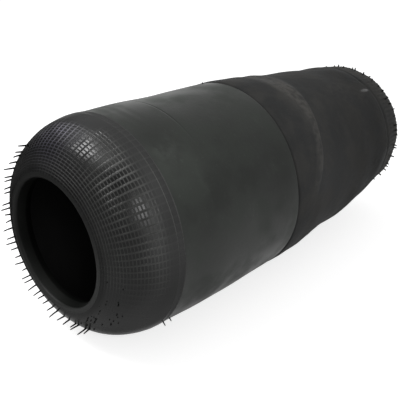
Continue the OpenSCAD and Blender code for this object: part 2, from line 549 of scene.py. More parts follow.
@dataclass(frozen=True)
class NearShoulder:
    """Ribbed cover of the near shoulder: flat glossy cells between raised rings and ribs.

    Attributes:
        sleeve: Sizes of the sleeve.
        ribs: Ribs round the shoulder.
        ring_pitch: Distance between two rings at the lip, along the arc.
        pitch_growth: How much that distance grows for each length along the arc.
        first_ring: Distance of the first ring from the lip.
        bare_end: Length without rings at the barrel's side.
        rib_height: Height of a rib.
        ring_height: Height of a ring.
        line_height: Height of a mould line.
        line_half: Half the width of a mould line.
        line_places: Distances of the mould lines from the shoulder's end.
        strongest: Most that the relief is strengthened in a patch.
        even_contrast: Painted contrast between lit ridges and shaded cells where nothing changes it.
        least_contrast: Least painted contrast, below 0 where the cells get a painted highlight and the
            ridges painted shade.
        most_contrast: Most painted contrast.
        ridge_gain: How much more painted light a ridge gets than a cell at a contrast of 1.
        cell_loss: How much painted shade darkens a cell at a contrast of 1.
        painted_sheen_in_cells: Share of the painted bluish sheen that lies in the cells.
        inner_rows: Rows of the inner surface.
        crisp_above: Angle in degrees above which an edge of the relief is crisp.
    """

    sleeve: Sleeve
    ribs: int = 100
    ring_pitch: float = 2.85 * MM
    pitch_growth: float = 0.0145
    first_ring: float = 2.6 * MM
    bare_end: float = 14.0 * MM
    rib_height: float = 0.46 * MM
    ring_height: float = 0.36 * MM
    line_height: float = 0.42 * MM
    line_half: float = 0.8 * MM
    line_places: tuple[float, float] = (8.4 * MM, 0.9 * MM)
    strongest: float = 1.3
    even_contrast: float = 0.12
    least_contrast: float = -0.62
    most_contrast: float = 1.4
    ridge_gain: float = 1.4
    cell_loss: float = 0.48
    painted_sheen_in_cells: float = 0.2
    inner_rows: int = 9
    crisp_above: float = 12.0

    # Rows and columns across a ring or a rib, in pitches, with the share of its height there
    RIB_PLACES = np.array([-0.18, -0.07, 0.0, 0.07, 0.18, 0.5])
    RIB_RISE = np.array([0.0, 0.75, 1.0, 0.75, 0.0, 0.0])
    RING_PLACES = np.array([-0.22, -0.1, 0.0, 0.1, 0.22])
    RING_RISE = np.array([0.0, 0.75, 1.0, 0.75, 0.0])
    # Painted bluish sheen over the top of the shoulder, mostly on the ridges
    BLOOM = Smudge(36.0 * MM, 97.0, 26.0 * MM, 17.0, 1.0)
    # Patches of painted shade, and of painted light where below 0 about the highlights
    PAINTED_SHADES = (
        Smudge(34.0 * MM, 46.0, 13.0 * MM, 18.0, -0.5),
        Smudge(25.0 * MM, 94.0, 13.0 * MM, 12.0, 0.3),
        Smudge(56.0 * MM, 42.0, 9.0 * MM, 8.0, 0.2),
        Smudge(82.0 * MM, -42.0, 14.0 * MM, 14.0, 0.3),
        Smudge(45.0 * MM, 61.0, 10.0 * MM, 8.0, -0.3),
        Smudge(55.0 * MM, 12.0, 15.0 * MM, 16.0, -0.24),
        Smudge(76.0 * MM, 38.0, 7.0 * MM, 14.0, -0.3),
    )
    # Patches of painted contrast between lit ridges and shaded cells, reversed below 0 where the cells get a
    # painted highlight
    PAINTED_CONTRASTS = (
        Smudge(41.0 * MM, 110.0, 23.0 * MM, 22.0, 1.5),
        Smudge(14.0 * MM, 60.0, 12.0 * MM, 18.0, 0.24),
        Smudge(45.0 * MM, 68.0, 17.0 * MM, 12.0, -1.1),
        Smudge(46.0 * MM, 47.0, 16.0 * MM, 7.0, 0.75),
        Smudge(57.0 * MM, 25.0, 10.0 * MM, 12.0, -0.9),
    )
    LINE_PLACES = np.array([-1.0, -0.45, 0.45, 1.0])
    LINE_RISE = np.array([0.0, 1.0, 1.0, 0.0])
    LINE_SHOWN = Sector(26.0, 32.0, 12.0, 0.22, 0.92)
    FAINT_SIDE = Sector(-65.0, 42.0, 78.0, 0.08, 1.0)
    PAD_SIDE = Sector(88.0, 17.0, 9.0)
    PAD_RISE = Change(-33.0 * MM, -25.0 * MM)
    END_FADE = Change(-30.0 * MM, -15.0 * MM, 1.0, 0.12)
    RIB_GROWTH = Change(8.0 * MM, 32.0 * MM, 0.2, 1.0)
    RING_GROWTH = Change(12.0 * MM, 34.0 * MM, 1.45, 1.0)
    PATCHES = Unevenness(seed=3, height=0.1, shortest=9 * MM, longest=40 * MM, most_round=24)
    WAVES = Unevenness(seed=11, height=0.16 * MM, shortest=22 * MM, longest=60 * MM, most_round=9)
    LIP_SETTLE = Change(0.0, 12.0 * MM)
    BARREL_SETTLE = Change(0.0, -14.0 * MM)
    SLUMP_SHARE = Change(0.2, 0.75)
    # Painted shade and painted light, as factors on the finish's colour and gloss round the mouth, over the
    # crown and at the lip, and where the crown's painted light starts
    MOUTH_PAINTED_LIGHT = Sector(145.0, 62.0, 32.0, 0.56, 0.22)
    CROWN_PAINTED_LIGHT = Sector(60.0, 25.0, 75.0, 1.4, 0.7)
    BACK_PAINTED_LIGHT = Sector(150.0, 62.0, 45.0, 1.0, 0.6)
    LIP_PAINTED_LIGHT = Change(2.0 * MM, 10.0 * MM, 0.62, 1.0)
    CROWN_START = Change(30.0 * MM, 54.0 * MM)
    CROWN_DELAY = Sector(20.0, 45.0, 25.0, 0.0, 10.0 * MM)

    def columns(self) -> tuple[Array, Array]:
        """Angles of the columns, and 1 on the top of a rib and 0 beside it."""
        rib = np.arange(self.ribs)[:, None] + self.RIB_PLACES[None, :]
        return rib.ravel() * TURN / self.ribs, np.tile(self.RIB_RISE, self.ribs)

    def rows(self) -> tuple[Array, Array, Array]:
        """Distances of the rows from the lip, and 1 on a ring's top and on a mould line's top.

        Each ring lies (1 + growth) times as far as the last one from a place that is
        pitch / growth in front of the lip.
        """
        total = self.sleeve.near_rounding.length
        ahead = self.ring_pitch / self.pitch_growth
        reach = (total - self.bare_end + ahead) / (self.first_ring + ahead)
        count = int(math.log(reach) / math.log(1.0 + self.pitch_growth)) + 1
        centres = (self.first_ring + ahead) * (1.0 + self.pitch_growth) ** np.arange(count) - ahead
        pitches = self.ring_pitch + self.pitch_growth * centres
        rings = (centres[:, None] + self.RING_PLACES * pitches[:, None]).ravel()
        line_ends = total - np.array(self.line_places)[:, None]
        lines = (line_ends + self.LINE_PLACES * self.line_half).ravel()
        between = np.linspace(rings[-1], lines[0], 5)[1:-1]
        along = np.concatenate([[0.0], rings, between, lines, [total]])
        ring, line = np.zeros_like(along), np.zeros_like(along)
        ring[1 : 1 + len(rings)] = np.tile(self.RING_RISE, count)
        line[-1 - len(lines) : -1] = np.tile(self.LINE_RISE, len(self.line_places))
        order = np.argsort(along, kind="stable")
        return along[order], ring[order], line[order]

    def strength(self, along: Array, phi: Array) -> Array:
        """How strong the relief is at each place, from 0 to 1.

        It is faint on the lower front, on the pad near the top and beside the barrel.

        Args:
            along: Distances from the lip.
            phi: Angles of the columns.

        Returns:
            A grid of strengths.
        """
        total = self.sleeve.near_rounding.length
        pad = self.PAD_SIDE.over(phi)[None, :] * self.PAD_RISE.over(along, total)[:, None]
        return self.FAINT_SIDE.over(phi)[None, :] * (1.0 - pad) * self.END_FADE.over(along, total)[:, None]

    def shade(self, along: Array, phi: Array) -> Array:
        """Painted shade: how much the rubber's colour and gloss are darkened, below 0 where painted light
        brightens them.

        The painted shade is deepest round the mouth, most of all on the side away from -Y, and the
        painted light is strongest beside the barrel about phi 60 degrees.

        Args:
            along: Distances from the lip.
            phi: Angles of the columns.

        Returns:
            A grid of shades.
        """
        start = self.CROWN_DELAY.over(phi)[None, :]
        share = self.CROWN_START.over(along[:, None] - start)
        mouth = self.MOUTH_PAINTED_LIGHT.over(phi)[None, :]
        crown = (self.CROWN_PAINTED_LIGHT.over(phi) * self.BACK_PAINTED_LIGHT.over(phi))[None, :]
        painted_light = (mouth * (1.0 - share) + crown * share) * self.LIP_PAINTED_LIGHT.over(along)[:, None]
        return 1.0 - painted_light * (1.0 - layered(self.PAINTED_SHADES, along, phi))

    def contrast(self, along: Array, phi: Array, ridge: Array) -> Array:
        """Factor of painted light on ridges and painted shade in cells: 1 + share (gain ridge - loss).

        The share is below 0 about the highlight, where the cells get a painted highlight and the ridges
        painted shade.

        Args:
            along: Distances from the lip.
            phi: Angles of the columns.
            ridge: Grid of 1 on a ridge's top and 0 in a cell.

        Returns:
            A grid of factors.
        """
        share = self.even_contrast + layered(self.PAINTED_CONTRASTS, along, phi)
        share = np.clip(share, self.least_contrast, self.most_contrast)
        return 1.0 + share * (self.ridge_gain * ridge - self.cell_loss)

    def build(self, material: bpy.types.Material) -> bpy.types.Object:
        """Builds the skin in place of its node.

        Args:
            material: The shoulder's rubber.

        Returns:
            The new piece.
        """
        phi, rib = self.columns()
        along, ring, line = self.rows()
        rounding = self.sleeve.near_rounding
        wall = WallLine.arc(rounding, rounding.angle_at(along))
        strength = self.strength(along, phi) * (1.0 + self.PATCHES.over(along, phi))
        rib_part = rib[None, :] * (self.rib_height * self.RIB_GROWTH.over(along))[:, None]
        ring_part = (self.ring_height * ring * self.RING_GROWTH.over(along))[:, None]
        bumps = np.maximum(rib_part, ring_part) * np.clip(strength, 0.0, self.strongest)
        lines = self.line_height * line[:, None] * self.LINE_SHOWN.over(phi)[None, :]
        settle = self.LIP_SETTLE.over(along) * self.BARREL_SETTLE.over(along, rounding.length)
        waves = self.WAVES.over(along, phi) * settle[:, None]
        fallen = -SHOULDER_SLUMP * self.SLUMP_SHARE.over(along / rounding.length)
        outside = wall.raised(bumps + lines + waves + fallen[:, None])
        inner = WallLine.arc(rounding, np.linspace(rounding.lip_angle, math.pi / 2, self.inner_rows))
        inside = inner.raised(-self.sleeve.thicknesses[Layer.COVER], len(phi))
        ridge = bumps / self.rib_height
        painted_sheen_share = self.painted_sheen_in_cells + (1.0 - self.painted_sheen_in_cells) * ridge
        # The shade mask is painted shade and painted light, parting lit ridges from shaded cells, and the
        # sheen mask is a painted bluish sheen
        masks = {
            "relief": ridge + lines / self.rib_height,
            "shade": 1.0 - (1.0 - self.shade(along, phi)) * self.contrast(along, phi, ridge),
            "painted_sheen": self.BLOOM.over(along, phi) * painted_sheen_share,
        }
        piece = wrap("near_shoulder_skin", outside, inside, phi, self.sleeve.axis_z, masks, self.crisp_above)
        dress(piece, material)
        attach(piece, "near_end")
        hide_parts("near_shoulder_cover")
        return piece


@dataclass(frozen=True)
class LipRing:
    """Smooth lip and bore lining of one mouth.

    Attributes:
        sleeve: Sizes of the sleeve.
        node: The node that it replaces.
        body: The body that it rides on.
        mouth_x: Place of the mouth's plane.
        faces: -1 where the mouth faces -X, 1 where it faces +X.
        bore_l: Length of the lining.
        bulge: How far the lip stands out of the mouth's plane.
        rounding: Rounding of the lip into the bore.
        lining_t: Thickness of the lining.
        flange_t: Thickness of the lip's flange.
        toe_start: Share of the bore's length at which the toe starts to open.
        toe_t: Thickness of the lining left at the toe.
    """

    sleeve: Sleeve
    node: str
    body: str
    mouth_x: float
    faces: int
    bore_l: float
    bulge: float = 0.7 * MM
    rounding: float = 3.4 * MM
    lining_t: float = 1.8 * MM
    flange_t: float = 2.3 * MM
    toe_start: float = 0.6
    toe_t: float = 0.2 * MM

    FACE_ROWS = 7
    LIP_ROWS = 9
    TOE_ROWS = 6
    # Painted shade on the upper side, and factors of painted light in the bore and painted shade at its toe,
    # on the colour and gloss
    UPPER_SHADE = Sector(115.0, 130.0, 75.0, 0.05, 0.5)
    TOP_SHADE = Sector(115.0, 60.0, 20.0, 0.0, 0.14)
    BORE_PAINTED_LIGHT = Change(2.0 * MM, 6.0 * MM, 1.0, 2.4)
    TOE_PAINTED_LIGHT = Change(9.0 * MM, 14.0 * MM, 1.0, 0.2)

    @classmethod
    def at_node(cls, sleeve: Sleeve, node: str, body: str, faces: int) -> "LipRing":
        """Makes the lip ring that stands in a chafer's box."""
        low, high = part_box(node)
        mouth_x = low.x if faces < 0 else high.x
        return cls(sleeve, node, body, mouth_x, faces, high.x - low.x)

    def outline(self) -> tuple[Array, Array]:
        """Closed outline as depth behind the mouth and radius, from the shoulder's side round the bore.

        The lip is a half wave from the shoulder to its highest ring and a quarter ellipse from there
        into the bore.
        """
        outer, bore = self.sleeve.lip_r - self.sleeve.bond, self.sleeve.bore_r
        top_r = bore + self.rounding
        rise = np.linspace(0.0, 1.0, self.FACE_ROWS)
        face_r = outer + (top_r - outer) * rise
        face_x = -self.bulge * 0.5 * (1.0 - np.cos(math.pi * rise))
        turn = np.linspace(0.0, math.pi / 2, self.LIP_ROWS)[1:]
        lip_r = top_r - self.rounding * np.sin(turn)
        lip_x = -self.bulge + (self.rounding + self.bulge) * (1.0 - np.cos(turn))
        toe = np.linspace(0.0, 1.0, self.TOE_ROWS)
        bore_x = self.bore_l * (self.toe_start + (1.0 - self.toe_start) * toe)
        bore_r = bore + (self.lining_t - self.toe_t) * toe**2
        back_x = np.full(2, self.flange_t)
        back_r = np.array([bore + self.lining_t, outer])
        x = np.concatenate([face_x, lip_x, bore_x, back_x])
        r = np.concatenate([face_r, lip_r, bore_r, back_r])
        return x, r

    def shade(self, depth: Array, phi: Array) -> Array:
        """Painted shade: how much the colour and gloss are darkened, most on the upper side and at the toe,
        with painted light in the bore.

        Args:
            depth: Depths of the rows behind the mouth.
            phi: Angles of the columns.

        Returns:
            A grid of shades.
        """
        upper = self.UPPER_SHADE.over(phi) + self.TOP_SHADE.over(phi)
        painted_light = self.BORE_PAINTED_LIGHT.over(depth) * self.TOE_PAINTED_LIGHT.over(depth)
        return 1.0 - (1.0 - upper)[None, :] * painted_light[:, None]

    def build(self, material: bpy.types.Material, columns: int = 192) -> bpy.types.Object:
        """Builds the lip ring in place of its node.

        Args:
            material: Its rubber.
            columns: Columns round the ring.

        Returns:
            The new piece.
        """
        depth, radius = self.outline()
        if self.faces < 0:
            depth, radius = depth[::-1], radius[::-1]
        x = self.mouth_x - self.faces * depth
        phi = even_phi(columns)
        grid_x = np.repeat(x[:, None], columns, axis=1)
        grid_r = np.repeat(radius[:, None], columns, axis=1)
        # Painted shade and painted light over the lip and the bore
        masks = {"shade": self.shade(depth, phi)}
        surface, nothing = (grid_x, grid_r), (grid_x[:0], grid_r[:0])
        piece = wrap(f"{self.body}_lip", surface, nothing, phi, self.sleeve.axis_z, masks)
        dress(piece, material)
        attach(piece, self.body)
        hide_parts(self.node)
        return piece


@dataclass(frozen=True)
class SleeveShape:
    """How the soft sleeve departs from a straight turned one as it lies.

    Its middle line bows away from the side that phi 120 degrees faces at the barrel and towards
    it at the far end, and its matte end swells behind the smooth cover and again before the far
    shoulder.

    Attributes:
        sleeve: Sizes of the sleeve.
        neck_gap: Distance from the smooth cover's edge to the neck.
        neck_l: Length of the neck.
        neck_drop: Radius lost along the neck.
        taper_l: Length of the straight taper.
        taper_drop: Radius lost along the taper.
        crown_r: Radius over the far shoulder's crown.
        far_reach: Distance of the far rounding's centre behind the far mouth.
        cover_step: How far the matte cover lies below the barrel's.
        bow_side: Direction of the bow, in degrees.
        edge_wander: How far the smooth cover's edge wanders along the axis.
        edge_side: Place round the sleeve where the edge lies furthest back, in degrees.
        edge_half: Half the width of that stretch of the edge, in degrees.
        edge_ripple: Share of the wander that is three waves round the sleeve.
        edge_phase: Phase of those waves.
    """

    sleeve: Sleeve
    neck_gap: float = 52.0 * MM
    neck_l: float = 43.0 * MM
    neck_drop: float = 4.5 * MM
    taper_l: float = 150.0 * MM
    taper_drop: float = 10.5 * MM
    crown_r: float = 102.0 * MM
    far_reach: float = 45.03 * MM
    cover_step: float = 0.4 * MM
    bow_side: float = 120.0
    edge_wander: float = 3.2 * MM
    edge_side: float = 8.0
    edge_half: float = 26.0
    edge_ripple: float = 0.3
    edge_phase: float = 0.6

    ARC_ROWS = 26
    BLEND_SAMPLES = 15
    EDGE_REACH = Change(32.0 * MM, 2.0 * MM)
    # Bow of the barrel, the neck and the far end, which fades out at the far lip
    BARREL_BOW = Bell(-1.4 * MM, -135.0 * MM, 58.0 * MM)
    NECK_BOW = Bell(-1.2 * MM, 32.0 * MM, 17.0 * MM)
    FAR_BOW = Change(130.0 * MM, 262.0 * MM, 0.0, 4.9 * MM)
    LIP_FADE = Change(-1.0 * MM, -26.0 * MM)
    # Swelling behind the smooth cover's edge, along the neck and taper, and before the far mouth
    EDGE_SWELL = Bell(1.2 * MM, 14.0 * MM, 20.0 * MM)
    NECK_DIP = Bell(-1.1 * MM, 22.0 * MM, 19.0 * MM)
    TAPER_SWELL = Bell(1.5 * MM, 122.0 * MM, 34.0 * MM)
    CROWN_SWELL = Bell(1.3 * MM, -30.0 * MM, 20.0 * MM)

    def edge_shift(self, x: Array, phi: Array) -> Array:
        """How far the rubber about the smooth cover's edge is shifted along the axis.

        The shift is wander (ripple cos(3 phi + phase) - bell over phi), and fades out along x.

        Args:
            x: Places along the axis.
            phi: Angles of the columns.

        Returns:
            A grid of shifts.
        """
        near = self.EDGE_REACH.over(np.abs(x - self.sleeve.edge_x))
        back = hump(turned_from(phi, self.edge_side), 0.0, self.edge_half)
        wander = self.edge_ripple * np.cos(3.0 * phi + self.edge_phase) - back
        return self.edge_wander * near[:, None] * wander[None, :]

    @property
    def far_rounding(self) -> Rounding:
        """Arc of the far shoulder."""
        return Rounding.through(self.sleeve.far_x, self.sleeve.lip_r, self.crown_r, self.far_reach, 1)

    @property
    def neck_x(self) -> float:
        """Place where the neck starts."""
        return self.sleeve.edge_x + self.neck_gap

    def bow(self, x: Array) -> Array:
        """Shift of the middle line towards the bow's side, at places along the axis."""
        far = self.FAR_BOW.over(x) * self.LIP_FADE.over(x, self.sleeve.far_x)
        return self.BARREL_BOW.over(x) + self.NECK_BOW.over(x) + far

    def bowed(self, x: Array, r: Array, phi: Array) -> Array:
        """Radii after the bow: r + bow(x) cos(phi - side).

        Args:
            x: Grid of places along the axis.
            r: Grid of radii.
            phi: Angles of the columns.

        Returns:
            The grid of new radii.
        """
        return r + self.bow(x) * np.cos(phi - math.radians(self.bow_side))[None, :]

    def wall(self, start: float, end: float, step: float) -> WallLine:
        """Line of the turned wall between two places: neck, taper and far rounding.

        The straight stretches meet in blends, because the line through their corners is averaged
        over a third of the neck's length.

        Args:
            start: First place.
            end: Last place, or beyond the crown for the whole far shoulder.
            step: Distance between rows.

        Returns:
            The line.
        """
        rounding = self.far_rounding
        lengths = np.array([self.neck_gap, self.neck_l, self.taper_l])
        corner_x = self.sleeve.edge_x + np.concatenate([[0.0], np.cumsum(lengths)])
        drops = np.array([0.0, 0.0, self.neck_drop, self.taper_drop])
        corner_r = self.sleeve.barrel_r - np.cumsum(drops)
        tangent = self.tangent_angle(corner_x[-1], corner_r[-1])
        meet_x = rounding.centre_x + rounding.radius * math.cos(tangent)
        meet_r = rounding.centre_r + rounding.radius * math.sin(tangent)
        corner_x = np.append(corner_x, meet_x)
        corner_r = np.append(corner_r, meet_r)
        last = min(end, meet_x)
        x = np.linspace(start, last, max(3, int(round((last - start) / step)) + 1))
        blend_l = self.neck_l / 3.0
        spread = np.linspace(-0.5, 0.5, self.BLEND_SAMPLES) * blend_l
        fade = smooth_step(x, meet_x, meet_x - blend_l)
        r = np.interp(x[:, None] + spread * fade[:, None], corner_x, corner_r).mean(axis=1)
        line = WallLine.straight(x, r)
        if end <= meet_x:
            return line
        angles = np.linspace(tangent, rounding.lip_angle, self.ARC_ROWS)[1:]
        return line.then(WallLine.arc(rounding, angles))

    def tangent_angle(self, x: float, r: float) -> float:
        """Angle on the far rounding at which a line from (x, r) touches it."""
        rounding = self.far_rounding
        away = math.hypot(x - rounding.centre_x, r - rounding.centre_r)
        towards = math.atan2(r - rounding.centre_r, x - rounding.centre_x)
        return towards - math.acos(rounding.radius / away)

    def swell(self, x: Array) -> Array:
        """Height of the matte cover over the turned wall, the same all round: a sum of bells."""
        ends = self.EDGE_SWELL.over(x, self.sleeve.edge_x) + self.CROWN_SWELL.over(x, self.sleeve.far_x)
        return ends + self.NECK_DIP.over(x, self.neck_x) + self.TAPER_SWELL.over(x, self.neck_x)


@dataclass(frozen=True)
class BarrelSkin:
    """Smooth satin cover of the barrel.

    Attributes:
        sleeve: Sizes of the sleeve.
        shape: How the sleeve departs from a turned one.
        edge_round: Length over which the cover's edge rounds down.
        edge_depth: How far the edge rounds down.
        line_x: Place of the fine line across the top.
        line_depth: Depth of the fine line.
        line_half: Half its width.
        ripple_l: Length of a ripple beside the shoulder.
        ripple_sway: How far the ripples sway along the axis, in nine waves round the sleeve.
        body_rows: Rows between the shoulder and the edge.
        edge_l: Length at the edge with rows of its own.
    """

    sleeve: Sleeve
    shape: SleeveShape
    edge_round: float = 1.6 * MM
    edge_depth: float = 1.2 * MM
    line_x: float = -173.0 * MM
    line_depth: float = 0.3 * MM
    line_half: float = 0.7 * MM
    ripple_l: float = 13.0 * MM
    ripple_sway: float = 3.0 * MM
    body_rows: int = 76
    edge_l: float = 6.0 * MM

    LINE_ROWS = np.array([-1.2, -0.6, 0.0, 0.6, 1.2]) * MM
    EDGE_ROWS = np.array([2.4, 1.6, 1.0, 0.7, 0.4, 0.15, 0.0])
    LINE_SIDE = Sector(92.0, 46.0, 20.0)
    RIPPLE = Smudge(-211.0 * MM, 92.0, 13.0 * MM, 14.0, 0.3 * MM)
    SHOULDER_SETTLE = Change(0.0, 12.0 * MM)
    SLUMP_REACH = Change(75.0 * MM, 0.0)
    WAVES = Unevenness(seed=23, height=0.14 * MM, shortest=60 * MM, longest=160 * MM, most_round=5)
    SMUDGES = (
        Smudge(-216.0 * MM, 50.0, 14.0 * MM, 6.0, 0.42),
        Smudge(-200.0 * MM, 54.0, 8.0 * MM, 6.0, 0.25),
        Smudge(-128.0 * MM, 62.0, 20.0 * MM, 5.0, 0.2),
        Smudge(-84.0 * MM, 24.0, 16.0 * MM, 6.0, 0.24),
        Smudge(-132.0 * MM, 8.0, 9.0 * MM, 9.0, 0.2),
        Smudge(-66.0 * MM, 52.0, 10.0 * MM, 4.0, 0.14),
        Smudge(-190.0 * MM, 30.0, 5.0 * MM, 16.0, 0.14),
        Smudge(-160.0 * MM, 208.0, 24.0 * MM, 10.0, 0.25),
        Smudge(-90.0 * MM, 150.0, 18.0 * MM, 8.0, 0.2),
    )
    # Patches of painted light, where below 0, beside the shoulder and along the top, and of painted shade on
    # the front and the lower side
    PAINTED_SHADES = (
        Smudge(-225.0 * MM, 42.0, 52.0 * MM, 16.0, -0.45),
        Smudge(-70.0 * MM, 8.0, 48.0 * MM, 28.0, 0.28),
        Smudge(-215.0 * MM, -40.0, 66.0 * MM, 27.0, 0.3),
        Smudge(-130.0 * MM, -58.0, 220.0 * MM, 32.0, 0.55),
        Smudge(-145.0 * MM, 95.0, 62.0 * MM, 10.0, -0.7),
    )

    def rows(self) -> Array:
        """Places of the rows, close together at the fine line and at the edge."""
        body = np.linspace(self.sleeve.shoulder_x, self.sleeve.edge_x - self.edge_l, self.body_rows)
        line = self.line_x + self.LINE_ROWS
        edge = self.sleeve.edge_x - self.edge_round * self.EDGE_ROWS
        return np.unique(np.concatenate([body, line, edge]))

    def height(self, x: Array, phi: Array) -> Array:
        """Height over the turned barrel: waves, ripples by the shoulder, the fine line and the edge.

        A ripple is cos(2 pi (x + sway cos 9 phi) / length) under a smudge, and the edge rounds
        down along a quarter ellipse.

        Args:
            x: Places of the rows.
            phi: Angles of the columns.

        Returns:
            A grid of heights.
        """
        start = self.sleeve.shoulder_x
        swayed = x[:, None] + self.ripple_sway * np.cos(9.0 * phi)
        ripple = np.cos(TURN * swayed / self.ripple_l) * self.RIPPLE.over(x, phi)
        uneven = (self.WAVES.over(x, phi) + ripple) * self.SHOULDER_SETTLE.over(x, start)[:, None]
        line = hump(x, self.line_x, self.line_half)[:, None] * self.LINE_SIDE.over(phi)
        down = np.clip((x - (self.sleeve.edge_x - self.edge_round)) / self.edge_round, 0.0, 1.0)
        edge = -self.edge_depth * (1.0 - np.sqrt(1.0 - down**2))
        fallen = -SHOULDER_SLUMP * self.SLUMP_REACH.over(x, start)
        return uneven - self.line_depth * line + (edge + fallen)[:, None]

    def build(self, material: bpy.types.Material, columns: int = 288) -> bpy.types.Object:
        """Builds the barrel's skin in place of its node.

        Args:
            material: The barrel's rubber.
            columns: Columns round the barrel.

        Returns:
            The new piece.
        """
        phi = even_phi(columns)
        x = self.rows()
        line = WallLine.straight(x, np.full_like(x, self.sleeve.barrel_r))
        grid_x, grid_r = line.raised(self.height(x, phi))
        grid_r = self.shape.bowed(grid_x, grid_r, phi)
        grid_x = grid_x + self.shape.edge_shift(x, phi)
        ends = np.array([self.sleeve.shoulder_x, self.sleeve.edge_x])
        inner = WallLine.straight(ends, np.full(2, self.sleeve.barrel_r))
        inside = inner.raised(-self.sleeve.thicknesses[Layer.COVER], columns)
        inside = inside[0] + self.shape.edge_shift(ends, phi), inside[1]
        # The shade mask is painted shade and painted light
        masks = {"relief": layered(self.SMUDGES, x, phi), "shade": layered(self.PAINTED_SHADES, x, phi)}
        piece = wrap("barrel_skin", (grid_x, grid_r), inside, phi, self.sleeve.axis_z, masks)
        dress(piece, material)
        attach(piece, "near_end")
        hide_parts("barrel_cover")
        return piece


